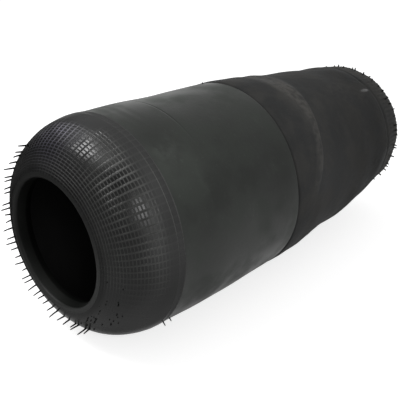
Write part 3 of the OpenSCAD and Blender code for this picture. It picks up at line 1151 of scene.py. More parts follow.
@dataclass(frozen=True)
class MatteSection:
    """One section of the matte end: its cover, its two plies and its liner.

    Attributes:
        sleeve: Sizes of the sleeve.
        shape: How the sleeve departs from a turned one.
        section: Which section it is.
        start: Place where it starts.
        end: Place where it ends.
        bend_l: Length of a bend between its two bodies, which is not used.
        fold_height: Height of the oblique fold over the top.
        fold_middle: Place about which the fold swings.
        fold_swing: How far the fold swings along the axis.
        fold_side: Side on which the fold reaches furthest, in degrees.
        crease_at: Angle from the fold's side about which it is creased, in degrees.
        groove_x: Place of the ring groove before the far shoulder.
        groove_depth: Depth of the groove.
        groove_half: Half its width.
        rib_count: Faint ribs round the far shoulder.
        rib_height: Height of a faint rib.
        edge_gap: Depth of the groove beside the smooth cover's edge.
        edge_dark: Painted shade in that groove.
        fold_dust_and_light: Pale colour on the fold that grows with its height, partly dusty rubber and
            partly painted light on its lit slope.
        top_dust_and_light: Pale colour over all of the fold, partly dusty rubber and partly painted light.
        band_dust: Dust on the far shoulder.
        row_step: Distance between two rows of the cover.
        layer_step: Distance between two rows of an inner layer.
        layer_columns: Columns of an inner layer.
        liner_lean: How far the liner leans out above its foot.
        foot_gap: Distance of the liner's foot from the bore.
    """

    sleeve: Sleeve
    shape: SleeveShape
    section: Section
    start: float
    end: float
    bend_l: float
    fold_height: float = 1.7 * MM
    fold_middle: float = -6.0 * MM
    fold_swing: float = 60.0 * MM
    fold_side: float = 87.0
    crease_at: float = 50.0
    groove_x: float = 227.0 * MM
    groove_depth: float = 1.1 * MM
    groove_half: float = 3.2 * MM
    rib_count: int = 100
    rib_height: float = 0.3 * MM
    edge_gap: float = 1.2 * MM
    edge_dark: float = 0.45
    fold_dust_and_light: float = 0.44
    top_dust_and_light: float = 0.24
    band_dust: float = 0.5
    row_step: float = 1.6 * MM
    layer_step: float = 5.0 * MM
    layer_columns: int = 144
    liner_lean: float = 2.0 * MM
    foot_gap: float = 1.9 * MM

    FOOT_ROWS = 6
    # The fold's profile runs over the share of its width, the rest of it over the angle round it
    FOLD_WIDTH = Change(42.0, 6.0, 18.0 * MM, 54.0 * MM)
    FOLD_RISE = Change(-0.05, 0.6)
    FOLD_DROP = Change(1.2, 0.88)
    FOLD_END = Change(96.0, 66.0)
    FOLD_TOP = Change(22.0, 4.0, 1.0, 0.8)
    FOLD_BACK = Change(30.0, 72.0)
    CREASE = Bell(0.16, 0.66, 0.06)
    CREASE_SIDE = Change(22.0, 8.0)
    PALE_FOLD = Change(0.02, 0.6)
    # Share of the far shoulder's dust that lies between its ribs too
    BAND_EVEN = 0.6
    WAVES = Unevenness(seed=37, height=0.3 * MM, shortest=70 * MM, longest=260 * MM, most_round=13)
    FINE = Unevenness(seed=41, height=0.05 * MM, shortest=16 * MM, longest=60 * MM, most_round=60)
    EDGE_SETTLE = Change(0.0, 3.5 * MM)
    LIP_SETTLE = Change(0.0, -20.0 * MM)
    GAP_REACH = Change(2.6 * MM, 0.0)
    GAP_SHADE = Change(2.6 * MM, 0.8 * MM)
    RIB_START = Change(3.0 * MM, 12.0 * MM)
    BAND_START = Change(-4.0 * MM, 10.0 * MM)
    SMUDGES = (
        Smudge(36.0 * MM, 70.0, 15.0 * MM, 13.0, 0.36),
        Smudge(22.0 * MM, 48.0, 11.0 * MM, 15.0, 0.24),
        Smudge(140.0 * MM, 58.0, 34.0 * MM, 12.0, 0.3),
        Smudge(150.0 * MM, 16.0, 16.0 * MM, 20.0, 0.22),
        Smudge(96.0 * MM, 24.0, 9.0 * MM, 10.0, 0.2),
        Smudge(188.0 * MM, 44.0, 16.0 * MM, 8.0, 0.22),
        Smudge(120.0 * MM, -14.0, 30.0 * MM, 9.0, 0.25),
        Smudge(90.0 * MM, 160.0, 24.0 * MM, 14.0, 0.3),
        Smudge(170.0 * MM, 220.0, 20.0 * MM, 18.0, 0.25),
    )
    # Patches of painted light, where below 0, by the smooth cover and over the top, and of painted shade on
    # the front and the lower side
    PAINTED_SHADES = (
        Smudge(15.0 * MM, 45.0, 78.0 * MM, 58.0, -0.36),
        Smudge(185.0 * MM, -8.0, 60.0 * MM, 40.0, 0.42),
        Smudge(120.0 * MM, -65.0, 220.0 * MM, 42.0, 0.72),
        Smudge(90.0 * MM, 72.0, 60.0 * MM, 24.0, -0.16),
        Smudge(275.0 * MM, 80.0, 24.0 * MM, 60.0, -0.45),
    )

    def fold(self, x: Array, phi: Array) -> Array:
        """Oblique fold, from 0 to 1: a gentle rise, then a drop over a short far side.

        Its far side lies at middle + swing cos(phi - side). It is wider near the top, and a
        crease runs along it on both sides of the top.

        Args:
            x: Grid of places along the axis.
            phi: Angles of the columns.

        Returns:
            A grid of shares of the fold's height.
        """
        degrees = turned_from(phi, self.fold_side)
        far_side = self.fold_middle + self.fold_swing * np.cos(phi - math.radians(self.fold_side))
        width = self.FOLD_WIDTH.over(degrees)
        share = (x - (far_side - width)[None, :]) / width[None, :]
        creased = self.CREASE_SIDE.over(np.abs(degrees - self.crease_at))[None, :]
        profile = self.FOLD_RISE.over(share) * self.FOLD_DROP.over(share) - self.CREASE.over(share) * creased
        behind = self.FOLD_BACK.over(turned_from(phi, self.fold_side + 90.0))
        return profile * (self.FOLD_END.over(degrees) * self.FOLD_TOP.over(degrees) * behind)[None, :]

    def groove(self, x: Array, phi: Array) -> Array:
        """Ring groove before the far shoulder: a bell about a line that wanders in two waves.

        The line lies at groove + 2.2 mm cos 3 phi + 1.3 mm cos(7 phi + 1).

        Args:
            x: Grid of places along the axis.
            phi: Angles of the columns.

        Returns:
            A grid of heights, below 0 in the groove.
        """
        wander = 2.2 * MM * np.cos(3.0 * phi) + 1.3 * MM * np.cos(7.0 * phi + 1.0)
        return -self.groove_depth * hump(x - wander[None, :], self.groove_x, self.groove_half)

    def height(self, line: WallLine, phi: Array) -> tuple[Array, Array]:
        """Height of the cover over the turned wall, with the pale colour that lies on it: dusty rubber, and
        painted light on the fold.

        Args:
            line: The turned wall.
            phi: Angles of the columns.

        Returns:
            A grid of heights and a grid of how pale the rubber is, from dirt and from painted light on the
            fold.
        """
        x = line.x
        grid_x = np.repeat(x[:, None], len(phi), axis=1)
        near_edge = self.EDGE_SETTLE.over(x, self.sleeve.edge_x)
        lip = self.LIP_SETTLE.over(x, self.sleeve.far_x)
        uneven = (self.WAVES.over(x, phi) + self.FINE.over(x, phi)) * (near_edge * lip)[:, None]
        ribs = np.cos(self.rib_count * phi)[None, :] * self.RIB_START.over(x, self.groove_x)[:, None]
        gap = self.edge_gap * self.GAP_REACH.over(x, self.sleeve.edge_x)
        level = (self.shape.swell(x) * near_edge - self.shape.cover_step - gap)[:, None]
        fold = self.fold(grid_x, phi)
        height = level + uneven + self.fold_height * fold + self.groove(grid_x, phi)
        band = self.band_dust * self.BAND_START.over(x, self.groove_x) * lip
        # Pale colour on the fold: partly dusty rubber, partly painted light on the fold's lit slope
        dust_and_light = self.fold_dust_and_light * fold + self.top_dust_and_light * self.PALE_FOLD.over(fold)
        dust_and_light = dust_and_light + layered(self.SMUDGES, x, phi)
        dust_and_light = dust_and_light + band[:, None] * (self.BAND_EVEN + (1.0 - self.BAND_EVEN) * ribs)
        return height + self.rib_height * ribs * lip[:, None], dust_and_light

    def place(self, piece: bpy.types.Object, node: str) -> None:
        """Puts a piece in place of a node: hides the node and bakes the piece's transform into its points.

        Args:
            piece: The piece.
            node: The node that it replaces.
        """
        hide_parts(node)
        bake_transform(piece)

    def build_cover(self, material: bpy.types.Material) -> bpy.types.Object:
        """Builds the section's cover.

        Args:
            material: The matte rubber.

        Returns:
            The new piece.
        """
        columns = 4 * self.rib_count
        phi = even_phi(columns)
        line = self.shape.wall(self.start, self.end, self.row_step)
        height, dust_and_light = self.height(line, phi)
        grid_x, grid_r = line.raised(height)
        shift = self.shape.edge_shift(line.x, phi)
        outside = grid_x + shift, self.shape.bowed(grid_x, grid_r, phi)
        inner_x, inner_r = line.raised(-self.sleeve.thicknesses[Layer.COVER], columns)
        inside = inner_x + shift, self.shape.bowed(inner_x, inner_r, phi)
        # Painted shade in the groove behind the smooth cover's edge
        gap = self.edge_dark * self.GAP_SHADE.over(line.x, self.sleeve.edge_x)
        masks = {"relief": dust_and_light, "shade": layered(self.PAINTED_SHADES, line.x, phi) + gap[:, None]}
        piece = wrap(f"{self.section.prefix}_matte_skin", outside, inside, phi, self.sleeve.axis_z, masks)
        dress(piece, material)
        self.place(piece, f"{self.section.prefix}_cover")
        return piece

    def layer_surface(self, line: WallLine, depth: float, phi: Array) -> tuple[Array, Array]:
        """One surface of a layer: the wall's line moved in by a depth and bowed."""
        x, r = line.raised(-depth, len(phi))
        return x, self.shape.bowed(x, r, phi)

    def foot(self, columns: int, shift: float) -> tuple[Array, Array]:
        """Foot of the far liner, which stands behind the turned-up plies.

        Args:
            columns: Columns round the foot.
            shift: How far its face lies from the turned-up plies.

        Returns:
            Grids of x and r, from its top to the bore's lining.
        """
        low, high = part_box("far_ply_turnup")
        radii = np.linspace(high.y, self.sleeve.bore_r + self.foot_gap, self.FOOT_ROWS)
        x = np.full((self.FOOT_ROWS, columns), low.x - self.sleeve.bond - shift)
        return x, np.repeat(radii[:, None], columns, axis=1)

    def build_layer(self, layer: Layer, material: bpy.types.Material, slot: str) -> bpy.types.Object:
        """Builds one inner layer of the section.

        Args:
            layer: Which layer.
            material: Its material.
            slot: The record's slot, which is not used.

        Returns:
            The new piece.
        """
        phi = even_phi(self.layer_columns)
        line = self.shape.wall(self.start, self.end, self.layer_step)
        depth, thickness = self.sleeve.depths[layer], self.sleeve.thicknesses[layer]
        has_foot = layer is Layer.LINER and self.section is Section.FAR
        if has_foot:
            line = self.shortened(line, depth)
        outside = self.layer_surface(line, depth, phi)
        inside = self.layer_surface(line, depth + thickness, phi)
        if has_foot:
            outer_foot, inner_foot = self.foot(len(phi), 0.0), self.foot(len(phi), thickness)
            outside = tuple(np.concatenate(pair) for pair in zip(outside, outer_foot))
            inside = tuple(np.concatenate(pair) for pair in zip(inside, inner_foot))
        name = f"{self.section.prefix}_{layer.value}"
        piece = wrap(f"{name}_wall", outside, inside, phi, self.sleeve.axis_z)
        dress(piece, material)
        self.place(piece, name)
        return piece

    def shortened(self, line: WallLine, depth: float) -> WallLine:
        """The wall's line up to where the far liner turns down to its foot."""
        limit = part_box("far_ply_turnup")[0].x - self.sleeve.bond + self.liner_lean
        keep = line.x - depth * line.normal_x <= limit
        return WallLine(line.x[keep], line.r[keep], line.normal_x[keep], line.normal_r[keep])


@dataclass(frozen=True)
class Whiskers:
    """Vent whiskers: thin tapered threads that rubber leaves in the mould's vents.

    Attributes:
        name: Name of the piece.
        body: The body that they ride on.
        roots: Where they start, just below the rubber, a row of three for each.
        directions: Which way each one points.
        lengths: How long each one is.
        bends: How far the tip of each one is bent aside.
        radius: Radius at the root.
    """

    name: str
    body: str
    roots: Array
    directions: Array
    lengths: Array
    bends: Array
    radius: float = 0.5 * MM

    SIDES = 6
    RINGS = np.array([0.0, 0.25, 0.5, 0.78, 1.0])
    GIRTHS = np.array([1.3, 1.0, 0.92, 0.82, 0.6])
    # Any direction that no whisker points along
    ASLANT = np.array([0.31, 0.52, 0.79])

    def build(self, material: bpy.types.Material) -> bpy.types.Object:
        """Builds all the whiskers as one piece.

        A ring's centre is root + t length direction + t^2 bend, and its points lie round that on
        two directions across the whisker. Both ends close on a point.

        Args:
            material: Their rubber.

        Returns:
            The new piece.
        """
        ahead = self.directions / np.linalg.norm(self.directions, axis=1, keepdims=True)
        across = np.cross(ahead, self.ASLANT)
        across /= np.linalg.norm(across, axis=1, keepdims=True)
        aside = np.cross(ahead, across)
        share = np.concatenate([[0.0], self.RINGS, [1.0]])
        girth = np.concatenate([[0.0], self.GIRTHS, [0.0]]) * self.radius
        run = share[None, :, None] * self.lengths[:, None, None]
        bent = (share**2)[None, :, None] * self.bends[:, None, :]
        centres = self.roots[:, None, :] + run * ahead[:, None, :] + bent
        turn = even_phi(self.SIDES)[None, :, None]
        spokes = np.cos(turn) * across[:, None, :] + np.sin(turn) * aside[:, None, :]
        points = centres[:, :, None, :] + girth[None, :, None, None] * spokes[:, None, :, :]
        count, rings = len(self.roots), len(share)
        whisker, ring, side = np.meshgrid(
            np.arange(count), np.arange(rings - 1), np.arange(self.SIDES), indexing="ij"
        )
        base = (whisker * rings + ring) * self.SIDES
        next_side = (side + 1) % self.SIDES
        corners = [base + side, base + next_side, base + self.SIDES + next_side, base + self.SIDES + side]
        faces = np.stack(corners, axis=-1).reshape(-1, 4)
        piece = fill_mesh(self.name, points.reshape(-1, 3), faces, smooth_below=80.0)
        merge_points(piece)
        dress(piece, material)
        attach(piece, self.body)
        return piece


def merge_points(piece: bpy.types.Object) -> None:
    """Merges points that lie on each other, which closes the tips of whiskers."""
    work = bmesh.new()
    work.from_mesh(piece.data)
    bmesh.ops.remove_doubles(work, verts=work.verts, dist=MERGE_DISTANCE)
    bmesh.ops.recalc_face_normals(work, faces=work.faces)
    work.to_mesh(piece.data)
    work.free()
    piece.data.shade_smooth()


def on_wall(line_x: Array, line_r: Array, phi: Array, axis_z: float) -> Array:
    """Points at (x, r) and phi: (x, -r cos phi, axis_z + r sin phi)."""
    return np.stack([line_x, -line_r * np.cos(phi), axis_z + line_r * np.sin(phi)], axis=-1)


def outwards(phi: Array) -> Array:
    """Directions away from the axis."""
    return np.stack([np.zeros_like(phi), -np.cos(phi), np.sin(phi)], axis=-1)


@dataclass(frozen=True)
class VentMarks:
    """All the whiskers and stubs of the sleeve.

    Attributes:
        sleeve: Sizes of the sleeve.
        shape: How the sleeve departs from a turned one.
        root: How deep a whisker starts below the rubber.
        long_count: Long whiskers round the near shoulder.
        patch_count: Trimmed stubs in the patch on the near shoulder.
        far_count: Short stubs round the far shoulder.
    """

    sleeve: Sleeve
    shape: SleeveShape
    root: float = 0.4 * MM
    long_count: int = 34
    patch_count: int = 30
    far_count: int = 60

    LONG_ARC = (122.0, 290.0)
    LONG_LENGTH = (6.5 * MM, 12.0 * MM)
    PATCH_MIDDLE = -44.0
    PATCH_SPREAD = 14.0
    PATCH_ANGLE = (22.0, 44.0)
    PATCH_LENGTH = (0.9 * MM, 1.5 * MM)
    NUB_PHI = np.array([-45.5, -44.0, 102.0])
    NUB_DEPTH = np.array([1.5, 1.5, 0.4]) * MM
    NUB_LENGTH = np.array([4.6, 4.0, 2.4]) * MM
    FAR_ANGLE = (74.0, 88.0)
    FAR_LENGTH = (3.5 * MM, 6.5 * MM)

    def near_points(self, angle: Array, phi: Array) -> Array:
        """Points on the near shoulder at angles of its rounding."""
        rounding = self.sleeve.near_rounding
        line = WallLine.arc(rounding, angle)
        x, r = line.raised(np.full((len(angle), 1), -self.root))
        return on_wall(x[:, 0], r[:, 0], phi, self.sleeve.axis_z)

    def long_whiskers(self) -> Whiskers:
        """Long whiskers round the side of the near shoulder that lies away from -Y.

        They start 29 degrees round the shoulder, and further round towards both ends of their arc.
        """
        rng = np.random.default_rng(8)
        count = self.long_count
        degrees = np.linspace(*self.LONG_ARC, count) + rng.uniform(-1.5, 1.5, count)
        phi = np.radians(degrees)
        upper = 25.0 * np.clip((195.0 - degrees) / 85.0, 0.0, 1.0) ** 2
        lower = 11.0 * np.clip((degrees - 205.0) / 75.0, 0.0, 1.0) ** 2
        angle = np.radians(29.0 + upper + lower + rng.uniform(-2.5, 2.5, count))
        directions = outwards(phi) * rng.uniform(0.0, 0.25, count)[:, None]
        directions[:, 0] = -1.0
        directions[:, 2] += rng.uniform(-0.1, 0.04, count)
        bends = rng.normal(0.0, 0.5, (count, 3)) * MM
        lengths = rng.uniform(*self.LONG_LENGTH, count)
        points = self.near_points(angle, phi)
        return Whiskers("near_vent_whiskers", "near_end", points, directions, lengths, bends, 0.95 * MM)

    def near_stubs(self) -> Whiskers:
        """Trimmed stubs: a patch on the lower front of the near shoulder, two by the barrel and a nub."""
        rng = np.random.default_rng(9)
        count = self.patch_count
        phi = np.radians(rng.normal(self.PATCH_MIDDLE, self.PATCH_SPREAD, count))
        angle = np.radians(rng.uniform(*self.PATCH_ANGLE, count))
        points = self.near_points(angle, phi)
        normals = outwards(phi) * np.sin(angle)[:, None]
        normals[:, 0] = -np.cos(angle)
        nub_phi = np.radians(self.NUB_PHI)
        by_shoulder = self.sleeve.shoulder_x + np.array([2.2, 9.5]) * MM
        nub_x = np.append(by_shoulder, self.sleeve.edge_x - 6.0 * MM)
        nub_r = self.sleeve.barrel_r - self.NUB_DEPTH
        nubs = on_wall(nub_x, nub_r, nub_phi, self.sleeve.axis_z)
        roots = np.concatenate([points, nubs])
        directions = np.concatenate([normals, outwards(nub_phi)])
        lengths = np.concatenate([rng.uniform(*self.PATCH_LENGTH, count), self.NUB_LENGTH])
        bends = rng.normal(0.0, 0.25, (len(roots), 3)) * MM
        return Whiskers("near_vent_stubs", "near_end", roots, directions, lengths, bends, 0.75 * MM)

    def far_stubs(self) -> Whiskers:
        """Short stubs round the far shoulder's crown."""
        rng = np.random.default_rng(17)
        count = self.far_count
        degrees = np.linspace(-180.0, 180.0, count, endpoint=False)
        phi = np.radians(degrees + rng.uniform(-2.0, 2.0, count))
        angle = np.radians(rng.uniform(*self.FAR_ANGLE, count))
        line = WallLine.arc(self.shape.far_rounding, angle)
        x, r = line.raised(np.full((count, 1), -self.root))
        r = r + (self.shape.bow(x[:, 0]) * np.cos(phi - math.radians(self.shape.bow_side)))[:, None]
        roots = on_wall(x[:, 0], r[:, 0], phi, self.sleeve.axis_z)
        directions = outwards(phi)
        directions[:, 0] = rng.uniform(-0.1, 0.5, count)
        lengths = rng.uniform(*self.FAR_LENGTH, count)
        bends = rng.normal(0.0, 0.4, (count, 3)) * MM
        return Whiskers("far_vent_stubs", "far_end", roots, directions, lengths, bends, 1.2 * MM)


class Graph:
    """Adds and joins shader nodes in one tree."""

    def __init__(self, tree: bpy.types.NodeTree) -> None:
        """Keeps the tree that the nodes go into."""
        self.tree = tree

    @classmethod
    def emptied(cls, owner: bpy.types.ID) -> "Graph":
        """Graph of a material's or a world's own tree, emptied."""
        owner.use_nodes = True
        owner.node_tree.nodes.clear()
        return cls(owner.node_tree)

    def feed(self, socket: bpy.types.NodeSocket, value: object) -> None:
        """Joins a socket to another one, or sets its own value.

        Args:
            socket: The input.
            value: An output to join it to, or a plain value.
        """
        if isinstance(value, bpy.types.NodeSocket):
            self.tree.links.new(value, socket)
        else:
            socket.default_value = value

    def node(self, kind: str, inputs: dict | None = None, **settings: object) -> bpy.types.Node:
        """Adds a node.

        Args:
            kind: Blender's name of the node's type.
            inputs: Values or outputs for its inputs, by name or number.
            **settings: Values for the node's own properties.

        Returns:
            The node.
        """
        made = self.tree.nodes.new(kind)
        for name, value in settings.items():
            setattr(made, name, value)
        for name, value in (inputs or {}).items():
            self.feed(made.inputs[name], value)
        return made

    def calc(self, operation: str, *values: object) -> bpy.types.NodeSocket:
        """Works out one step of arithmetic.

        Args:
            operation: Blender's name of the operation.
            *values: Its inputs in order.

        Returns:
            The result.
        """
        made = self.node("ShaderNodeMath", operation=operation)
        for socket, value in zip(made.inputs, values):
            self.feed(socket, value)
        return made.outputs[0]

    def noise(
        self, vector: bpy.types.NodeSocket, scale: object, detail: float = 3.0
    ) -> bpy.types.NodeSocket:
        """Noise from 0 to 1 at a scale in waves per metre."""
        inputs = {"Vector": vector, "Scale": scale, "Detail": detail}
        return self.node("ShaderNodeTexNoise", inputs).outputs["Fac"]

    def ramp(
        self, value: object, low: float, high: float, to_low: float = 0.0, to_high: float = 1.0
    ) -> bpy.types.NodeSocket:
        """Carries a value smoothly from one range to another and stops at its ends."""
        inputs = {"Value": value, "From Min": low, "From Max": high, "To Min": to_low, "To Max": to_high}
        made = self.node("ShaderNodeMapRange", inputs, interpolation_type="SMOOTHSTEP")
        return made.outputs["Result"]

    def group(self, tree: bpy.types.NodeTree, inputs: dict) -> bpy.types.NodeOutputs:
        """Adds a node group and returns its outputs."""
        return self.node("ShaderNodeGroup", inputs, node_tree=tree).outputs

    def attribute(self, name: str) -> bpy.types.NodeSocket:
        """Value that a piece carries at each of its points, or 0 where it carries none."""
        return self.node("ShaderNodeAttribute", attribute_name=name).outputs["Fac"]

    def mix(self, share: object, first: object, second: object) -> bpy.types.NodeSocket:
        """Mixes two colours."""
        # The node's colour sockets share their names with its other sockets, so they go by number
        made = self.node("ShaderNodeMix", data_type="RGBA")
        self.feed(made.inputs[0], share)
        self.feed(made.inputs[6], first)
        self.feed(made.inputs[7], second)
        return made.outputs[2]


def rgba(colour: tuple[float, float, float]) -> tuple[float, float, float, float]:
    """A colour with full alpha."""
    return (*colour, 1.0)


class Effects:
    """Node groups that several finishes share, built once."""

    def __init__(self) -> None:
        """Builds the groups."""
        self.grain = self.grain_group()
        self.marks = self.marks_group()
        self.threads = self.threads_group()

    @staticmethod
    def group(
        name: str, inputs: dict[str, str], outputs: dict[str, str]
    ) -> tuple[Graph, dict, bpy.types.Node]:
        """Starts a node group.

        Args:
            name: Name of the group.
            inputs: Names of its inputs with the types of their sockets.
            outputs: Names of its outputs with the types of their sockets.

        Returns:
            The graph, the inputs by name, and the output node.
        """
        tree = bpy.data.node_groups.new(name, "ShaderNodeTree")
        for key, kind in inputs.items():
            tree.interface.new_socket(name=key, in_out="INPUT", socket_type=kind)
        for key, kind in outputs.items():
            tree.interface.new_socket(name=key, in_out="OUTPUT", socket_type=kind)
        graph = Graph(tree)
        entry = graph.node("NodeGroupInput")
        exit_node = graph.node("NodeGroupOutput")
        return graph, {key: entry.outputs[key] for key in inputs}, exit_node

    def grain_group(self) -> bpy.types.NodeTree:
        """Moulded rubber grain: fine noise, a coarser pebble and small pits."""
        inputs = {"Vector": "NodeSocketVector", "Fine": "NodeSocketFloat", "Coarse": "NodeSocketFloat"}
        graph, given, out = self.group("moulded_grain", inputs, {"Height": "NodeSocketFloat"})
        fine = graph.noise(given["Vector"], given["Fine"], 4.0)
        coarse = graph.noise(given["Vector"], given["Coarse"], 3.0)
        cells = graph.node("ShaderNodeTexVoronoi", {"Vector": given["Vector"], "Scale": given["Fine"]})
        pits = graph.ramp(cells.outputs["Distance"], 0.0, 0.35)
        height = graph.calc("MULTIPLY_ADD", coarse, 2.0, fine)
        graph.feed(out.inputs["Height"], graph.calc("MULTIPLY_ADD", pits, 0.25, height))
        return graph.tree

    def marks_group(self) -> bpy.types.NodeTree:
        """Handling marks: soft cloudy patches, small spots and scuffs that break up dust and wear."""
        inputs = {"Vector": "NodeSocketVector", "Scale": "NodeSocketFloat"}
        outputs = {"Cloud": "NodeSocketFloat", "Spots": "NodeSocketFloat", "Scuffs": "NodeSocketFloat"}
        graph, given, out = self.group("handling_marks", inputs, outputs)
        cloud = graph.noise(given["Vector"], given["Scale"], 5.0)
        spots = graph.noise(given["Vector"], graph.calc("MULTIPLY", given["Scale"], 11.0), 2.0)
        graph.feed(out.inputs["Cloud"], graph.ramp(cloud, 0.38, 0.68))
        graph.feed(out.inputs["Spots"], graph.ramp(spots, 0.6, 0.78))
        scuffs = graph.noise(given["Vector"], graph.calc("MULTIPLY", given["Scale"], 4.5), 6.0)
        graph.feed(out.inputs["Scuffs"], graph.ramp(scuffs, 0.34, 0.64))
        return graph.tree

    def threads_group(self) -> bpy.types.NodeTree:
        """Parallel cords laid round the axis at a slant: a wave over the angle and the place along it."""
        inputs = {
            "Vector": "NodeSocketVector",
            "Count": "NodeSocketFloat",
            "Slant": "NodeSocketFloat",
            "Axis Height": "NodeSocketFloat",
        }
        graph, given, out = self.group("laid_cords", inputs, {"Height": "NodeSocketFloat"})
        parts = graph.node("ShaderNodeSeparateXYZ", {"Vector": given["Vector"]})
        rise = graph.calc("SUBTRACT", parts.outputs["Z"], given["Axis Height"])
        angle = graph.calc("ARCTAN2", rise, parts.outputs["Y"])
        turns = graph.calc("MULTIPLY", angle, given["Count"])
        slanted = graph.calc("MULTIPLY_ADD", parts.outputs["X"], given["Slant"], turns)
        wave = graph.calc("SINE", slanted)
        graph.feed(out.inputs["Height"], graph.calc("MULTIPLY_ADD", wave, 0.5, 0.5))
        return graph.tree


@dataclass(frozen=True)
class RubberFinish:
    """Finish of one kind of black rubber.

    Attributes:
        name: Name of the material.
        dark: Base colour.
        pale: Colour of clouds, spots and rubbed ridges, and of painted light on lit ridges and on the fold.
        roughness: Roughness of the flat surface.
        spread: How much the clouds change the roughness.
        gloss: Specular level.
        fine: Fine grain, in waves per metre.
        coarse: Coarse grain, in waves per metre.
        depth: Depth of the grain's bump.
        clouds: Share of the pale colour in the clouds.
        spots: The same in the spots, as a share of that in the clouds.
        wear_and_painted_light: Share of the pale colour on raised ribs and dusty rubber, partly real rubbing
            and dirt and partly painted light on lit ridges and on the fold.
        broken: How much the scuffs break up the wear, from 0 to 1.
        raised_rough: Roughness added on raised ribs and dust.
        mark_scale: Size of the clouds, in waves per metre.
        dulled: Share of the gloss that the moulded texture takes away at glancing angles.
        painted_sheen: Colour of the painted bluish sheen.
        polish_at: Middle of a small polished spot, or None.
    """

    name: str
    dark: tuple[float, float, float]
    pale: tuple[float, float, float]
    roughness: float
    spread: float
    gloss: float
    fine: float = 1400.0
    coarse: float = 260.0
    depth: float = 0.06 * MM
    clouds: float = 0.5
    spots: float = 0.55
    wear_and_painted_light: float = 0.0
    broken: float = 0.2
    raised_rough: float = 0.0
    mark_scale: float = 14.0
    dulled: float = 0.2
    painted_sheen: tuple[float, float, float] = (0.05, 0.047, 0.066)
    polish_at: tuple[float, float, float] | None = None

    GLANCING = (0.15, 0.75)
    POLISH_SHAPE = (0.55, 2.8, 2.8)
    POLISH_REACH = (3.0 * MM, 12.0 * MM)
    POLISHED = 0.22

    def material(self, effects: Effects) -> bpy.types.Material:
        """Builds the material.

        Args:
            effects: The shared node groups.

        Returns:
            The material.
        """
        made = bpy.data.materials.new(self.name)
        graph = Graph.emptied(made)
        place = graph.node("ShaderNodeTexCoord").outputs["Object"]
        marks = graph.group(effects.marks, {"Vector": place, "Scale": self.mark_scale})
        grain = graph.group(effects.grain, {"Vector": place, "Fine": self.fine, "Coarse": self.coarse})
        raised = graph.attribute("relief")
        # Painted shade and painted light: the shade attribute darkens the colour and the gloss, and lightens
        # them where it is below 0
        painted_light = graph.calc("SUBTRACT", 1.0, graph.attribute("shade"))
        pale_share = graph.calc("MULTIPLY", marks["Cloud"], self.clouds)
        spots = self.clouds * self.spots
        pale_share = graph.calc("MULTIPLY_ADD", marks["Spots"], spots, pale_share)
        whole = graph.calc("MULTIPLY_ADD", marks["Scuffs"], 2.0 * self.broken, 1.0 - self.broken)
        # Pale colour on raised ribs and dusty rubber: partly real rubbing and dirt, partly painted light on
        # lit ridges and on the fold
        worn_and_lit = graph.calc("MULTIPLY", raised, whole)
        pale_share = graph.calc("MULTIPLY_ADD", worn_and_lit, self.wear_and_painted_light, pale_share)
        colour = graph.mix(pale_share, rgba(self.dark), rgba(self.pale))
        # Painted bluish sheen over the top of the near shoulder
        colour = graph.mix(graph.attribute("painted_sheen"), colour, rgba(self.painted_sheen))
        shaded = graph.node("ShaderNodeVectorMath", {0: colour, "Scale": painted_light}, operation="SCALE")
        smoothest = self.roughness - 0.5 * self.spread
        rough = graph.calc("MULTIPLY_ADD", marks["Cloud"], self.spread, smoothest)
        rough = graph.calc("MULTIPLY_ADD", raised, self.raised_rough, rough)
        if self.polish_at is not None:
            rough = self.polished(graph, place, rough)
        heights = {"Strength": 1.0, "Distance": self.depth, "Height": grain["Height"]}
        bump = graph.node("ShaderNodeBump", heights)
        glancing = graph.node("ShaderNodeLayerWeight", {"Blend": 0.5}).outputs["Facing"]
        gloss = graph.ramp(glancing, *self.GLANCING, self.gloss, self.gloss * (1.0 - self.dulled))
        inputs = {"Base Color": shaded.outputs["Vector"], "Roughness": rough}
        shader = graph.node("ShaderNodeBsdfPrincipled", inputs)
        graph.feed(shader.inputs["Specular IOR Level"], graph.calc("MULTIPLY", gloss, painted_light))
        graph.feed(shader.inputs["Normal"], bump.outputs["Normal"])
        output = graph.node("ShaderNodeOutputMaterial")
        graph.feed(output.inputs["Surface"], shader.outputs["BSDF"])
        return made

    def polished(
        self, graph: Graph, place: bpy.types.NodeSocket, rough: bpy.types.NodeSocket
    ) -> bpy.types.NodeSocket:
        """Lowers the roughness over a small spot that is long in x."""
        inputs = {0: place, 1: self.polish_at}
        away = graph.node("ShaderNodeVectorMath", inputs, operation="SUBTRACT").outputs["Vector"]
        scaled = graph.node("ShaderNodeVectorMath", {0: away, 1: self.POLISH_SHAPE}, operation="MULTIPLY")
        size = graph.node("ShaderNodeVectorMath", {0: scaled.outputs["Vector"]}, operation="LENGTH")
        rubbed = graph.ramp(size.outputs["Value"], *self.POLISH_REACH, self.POLISHED, 1.0)
        return graph.calc("MULTIPLY", rough, rubbed)


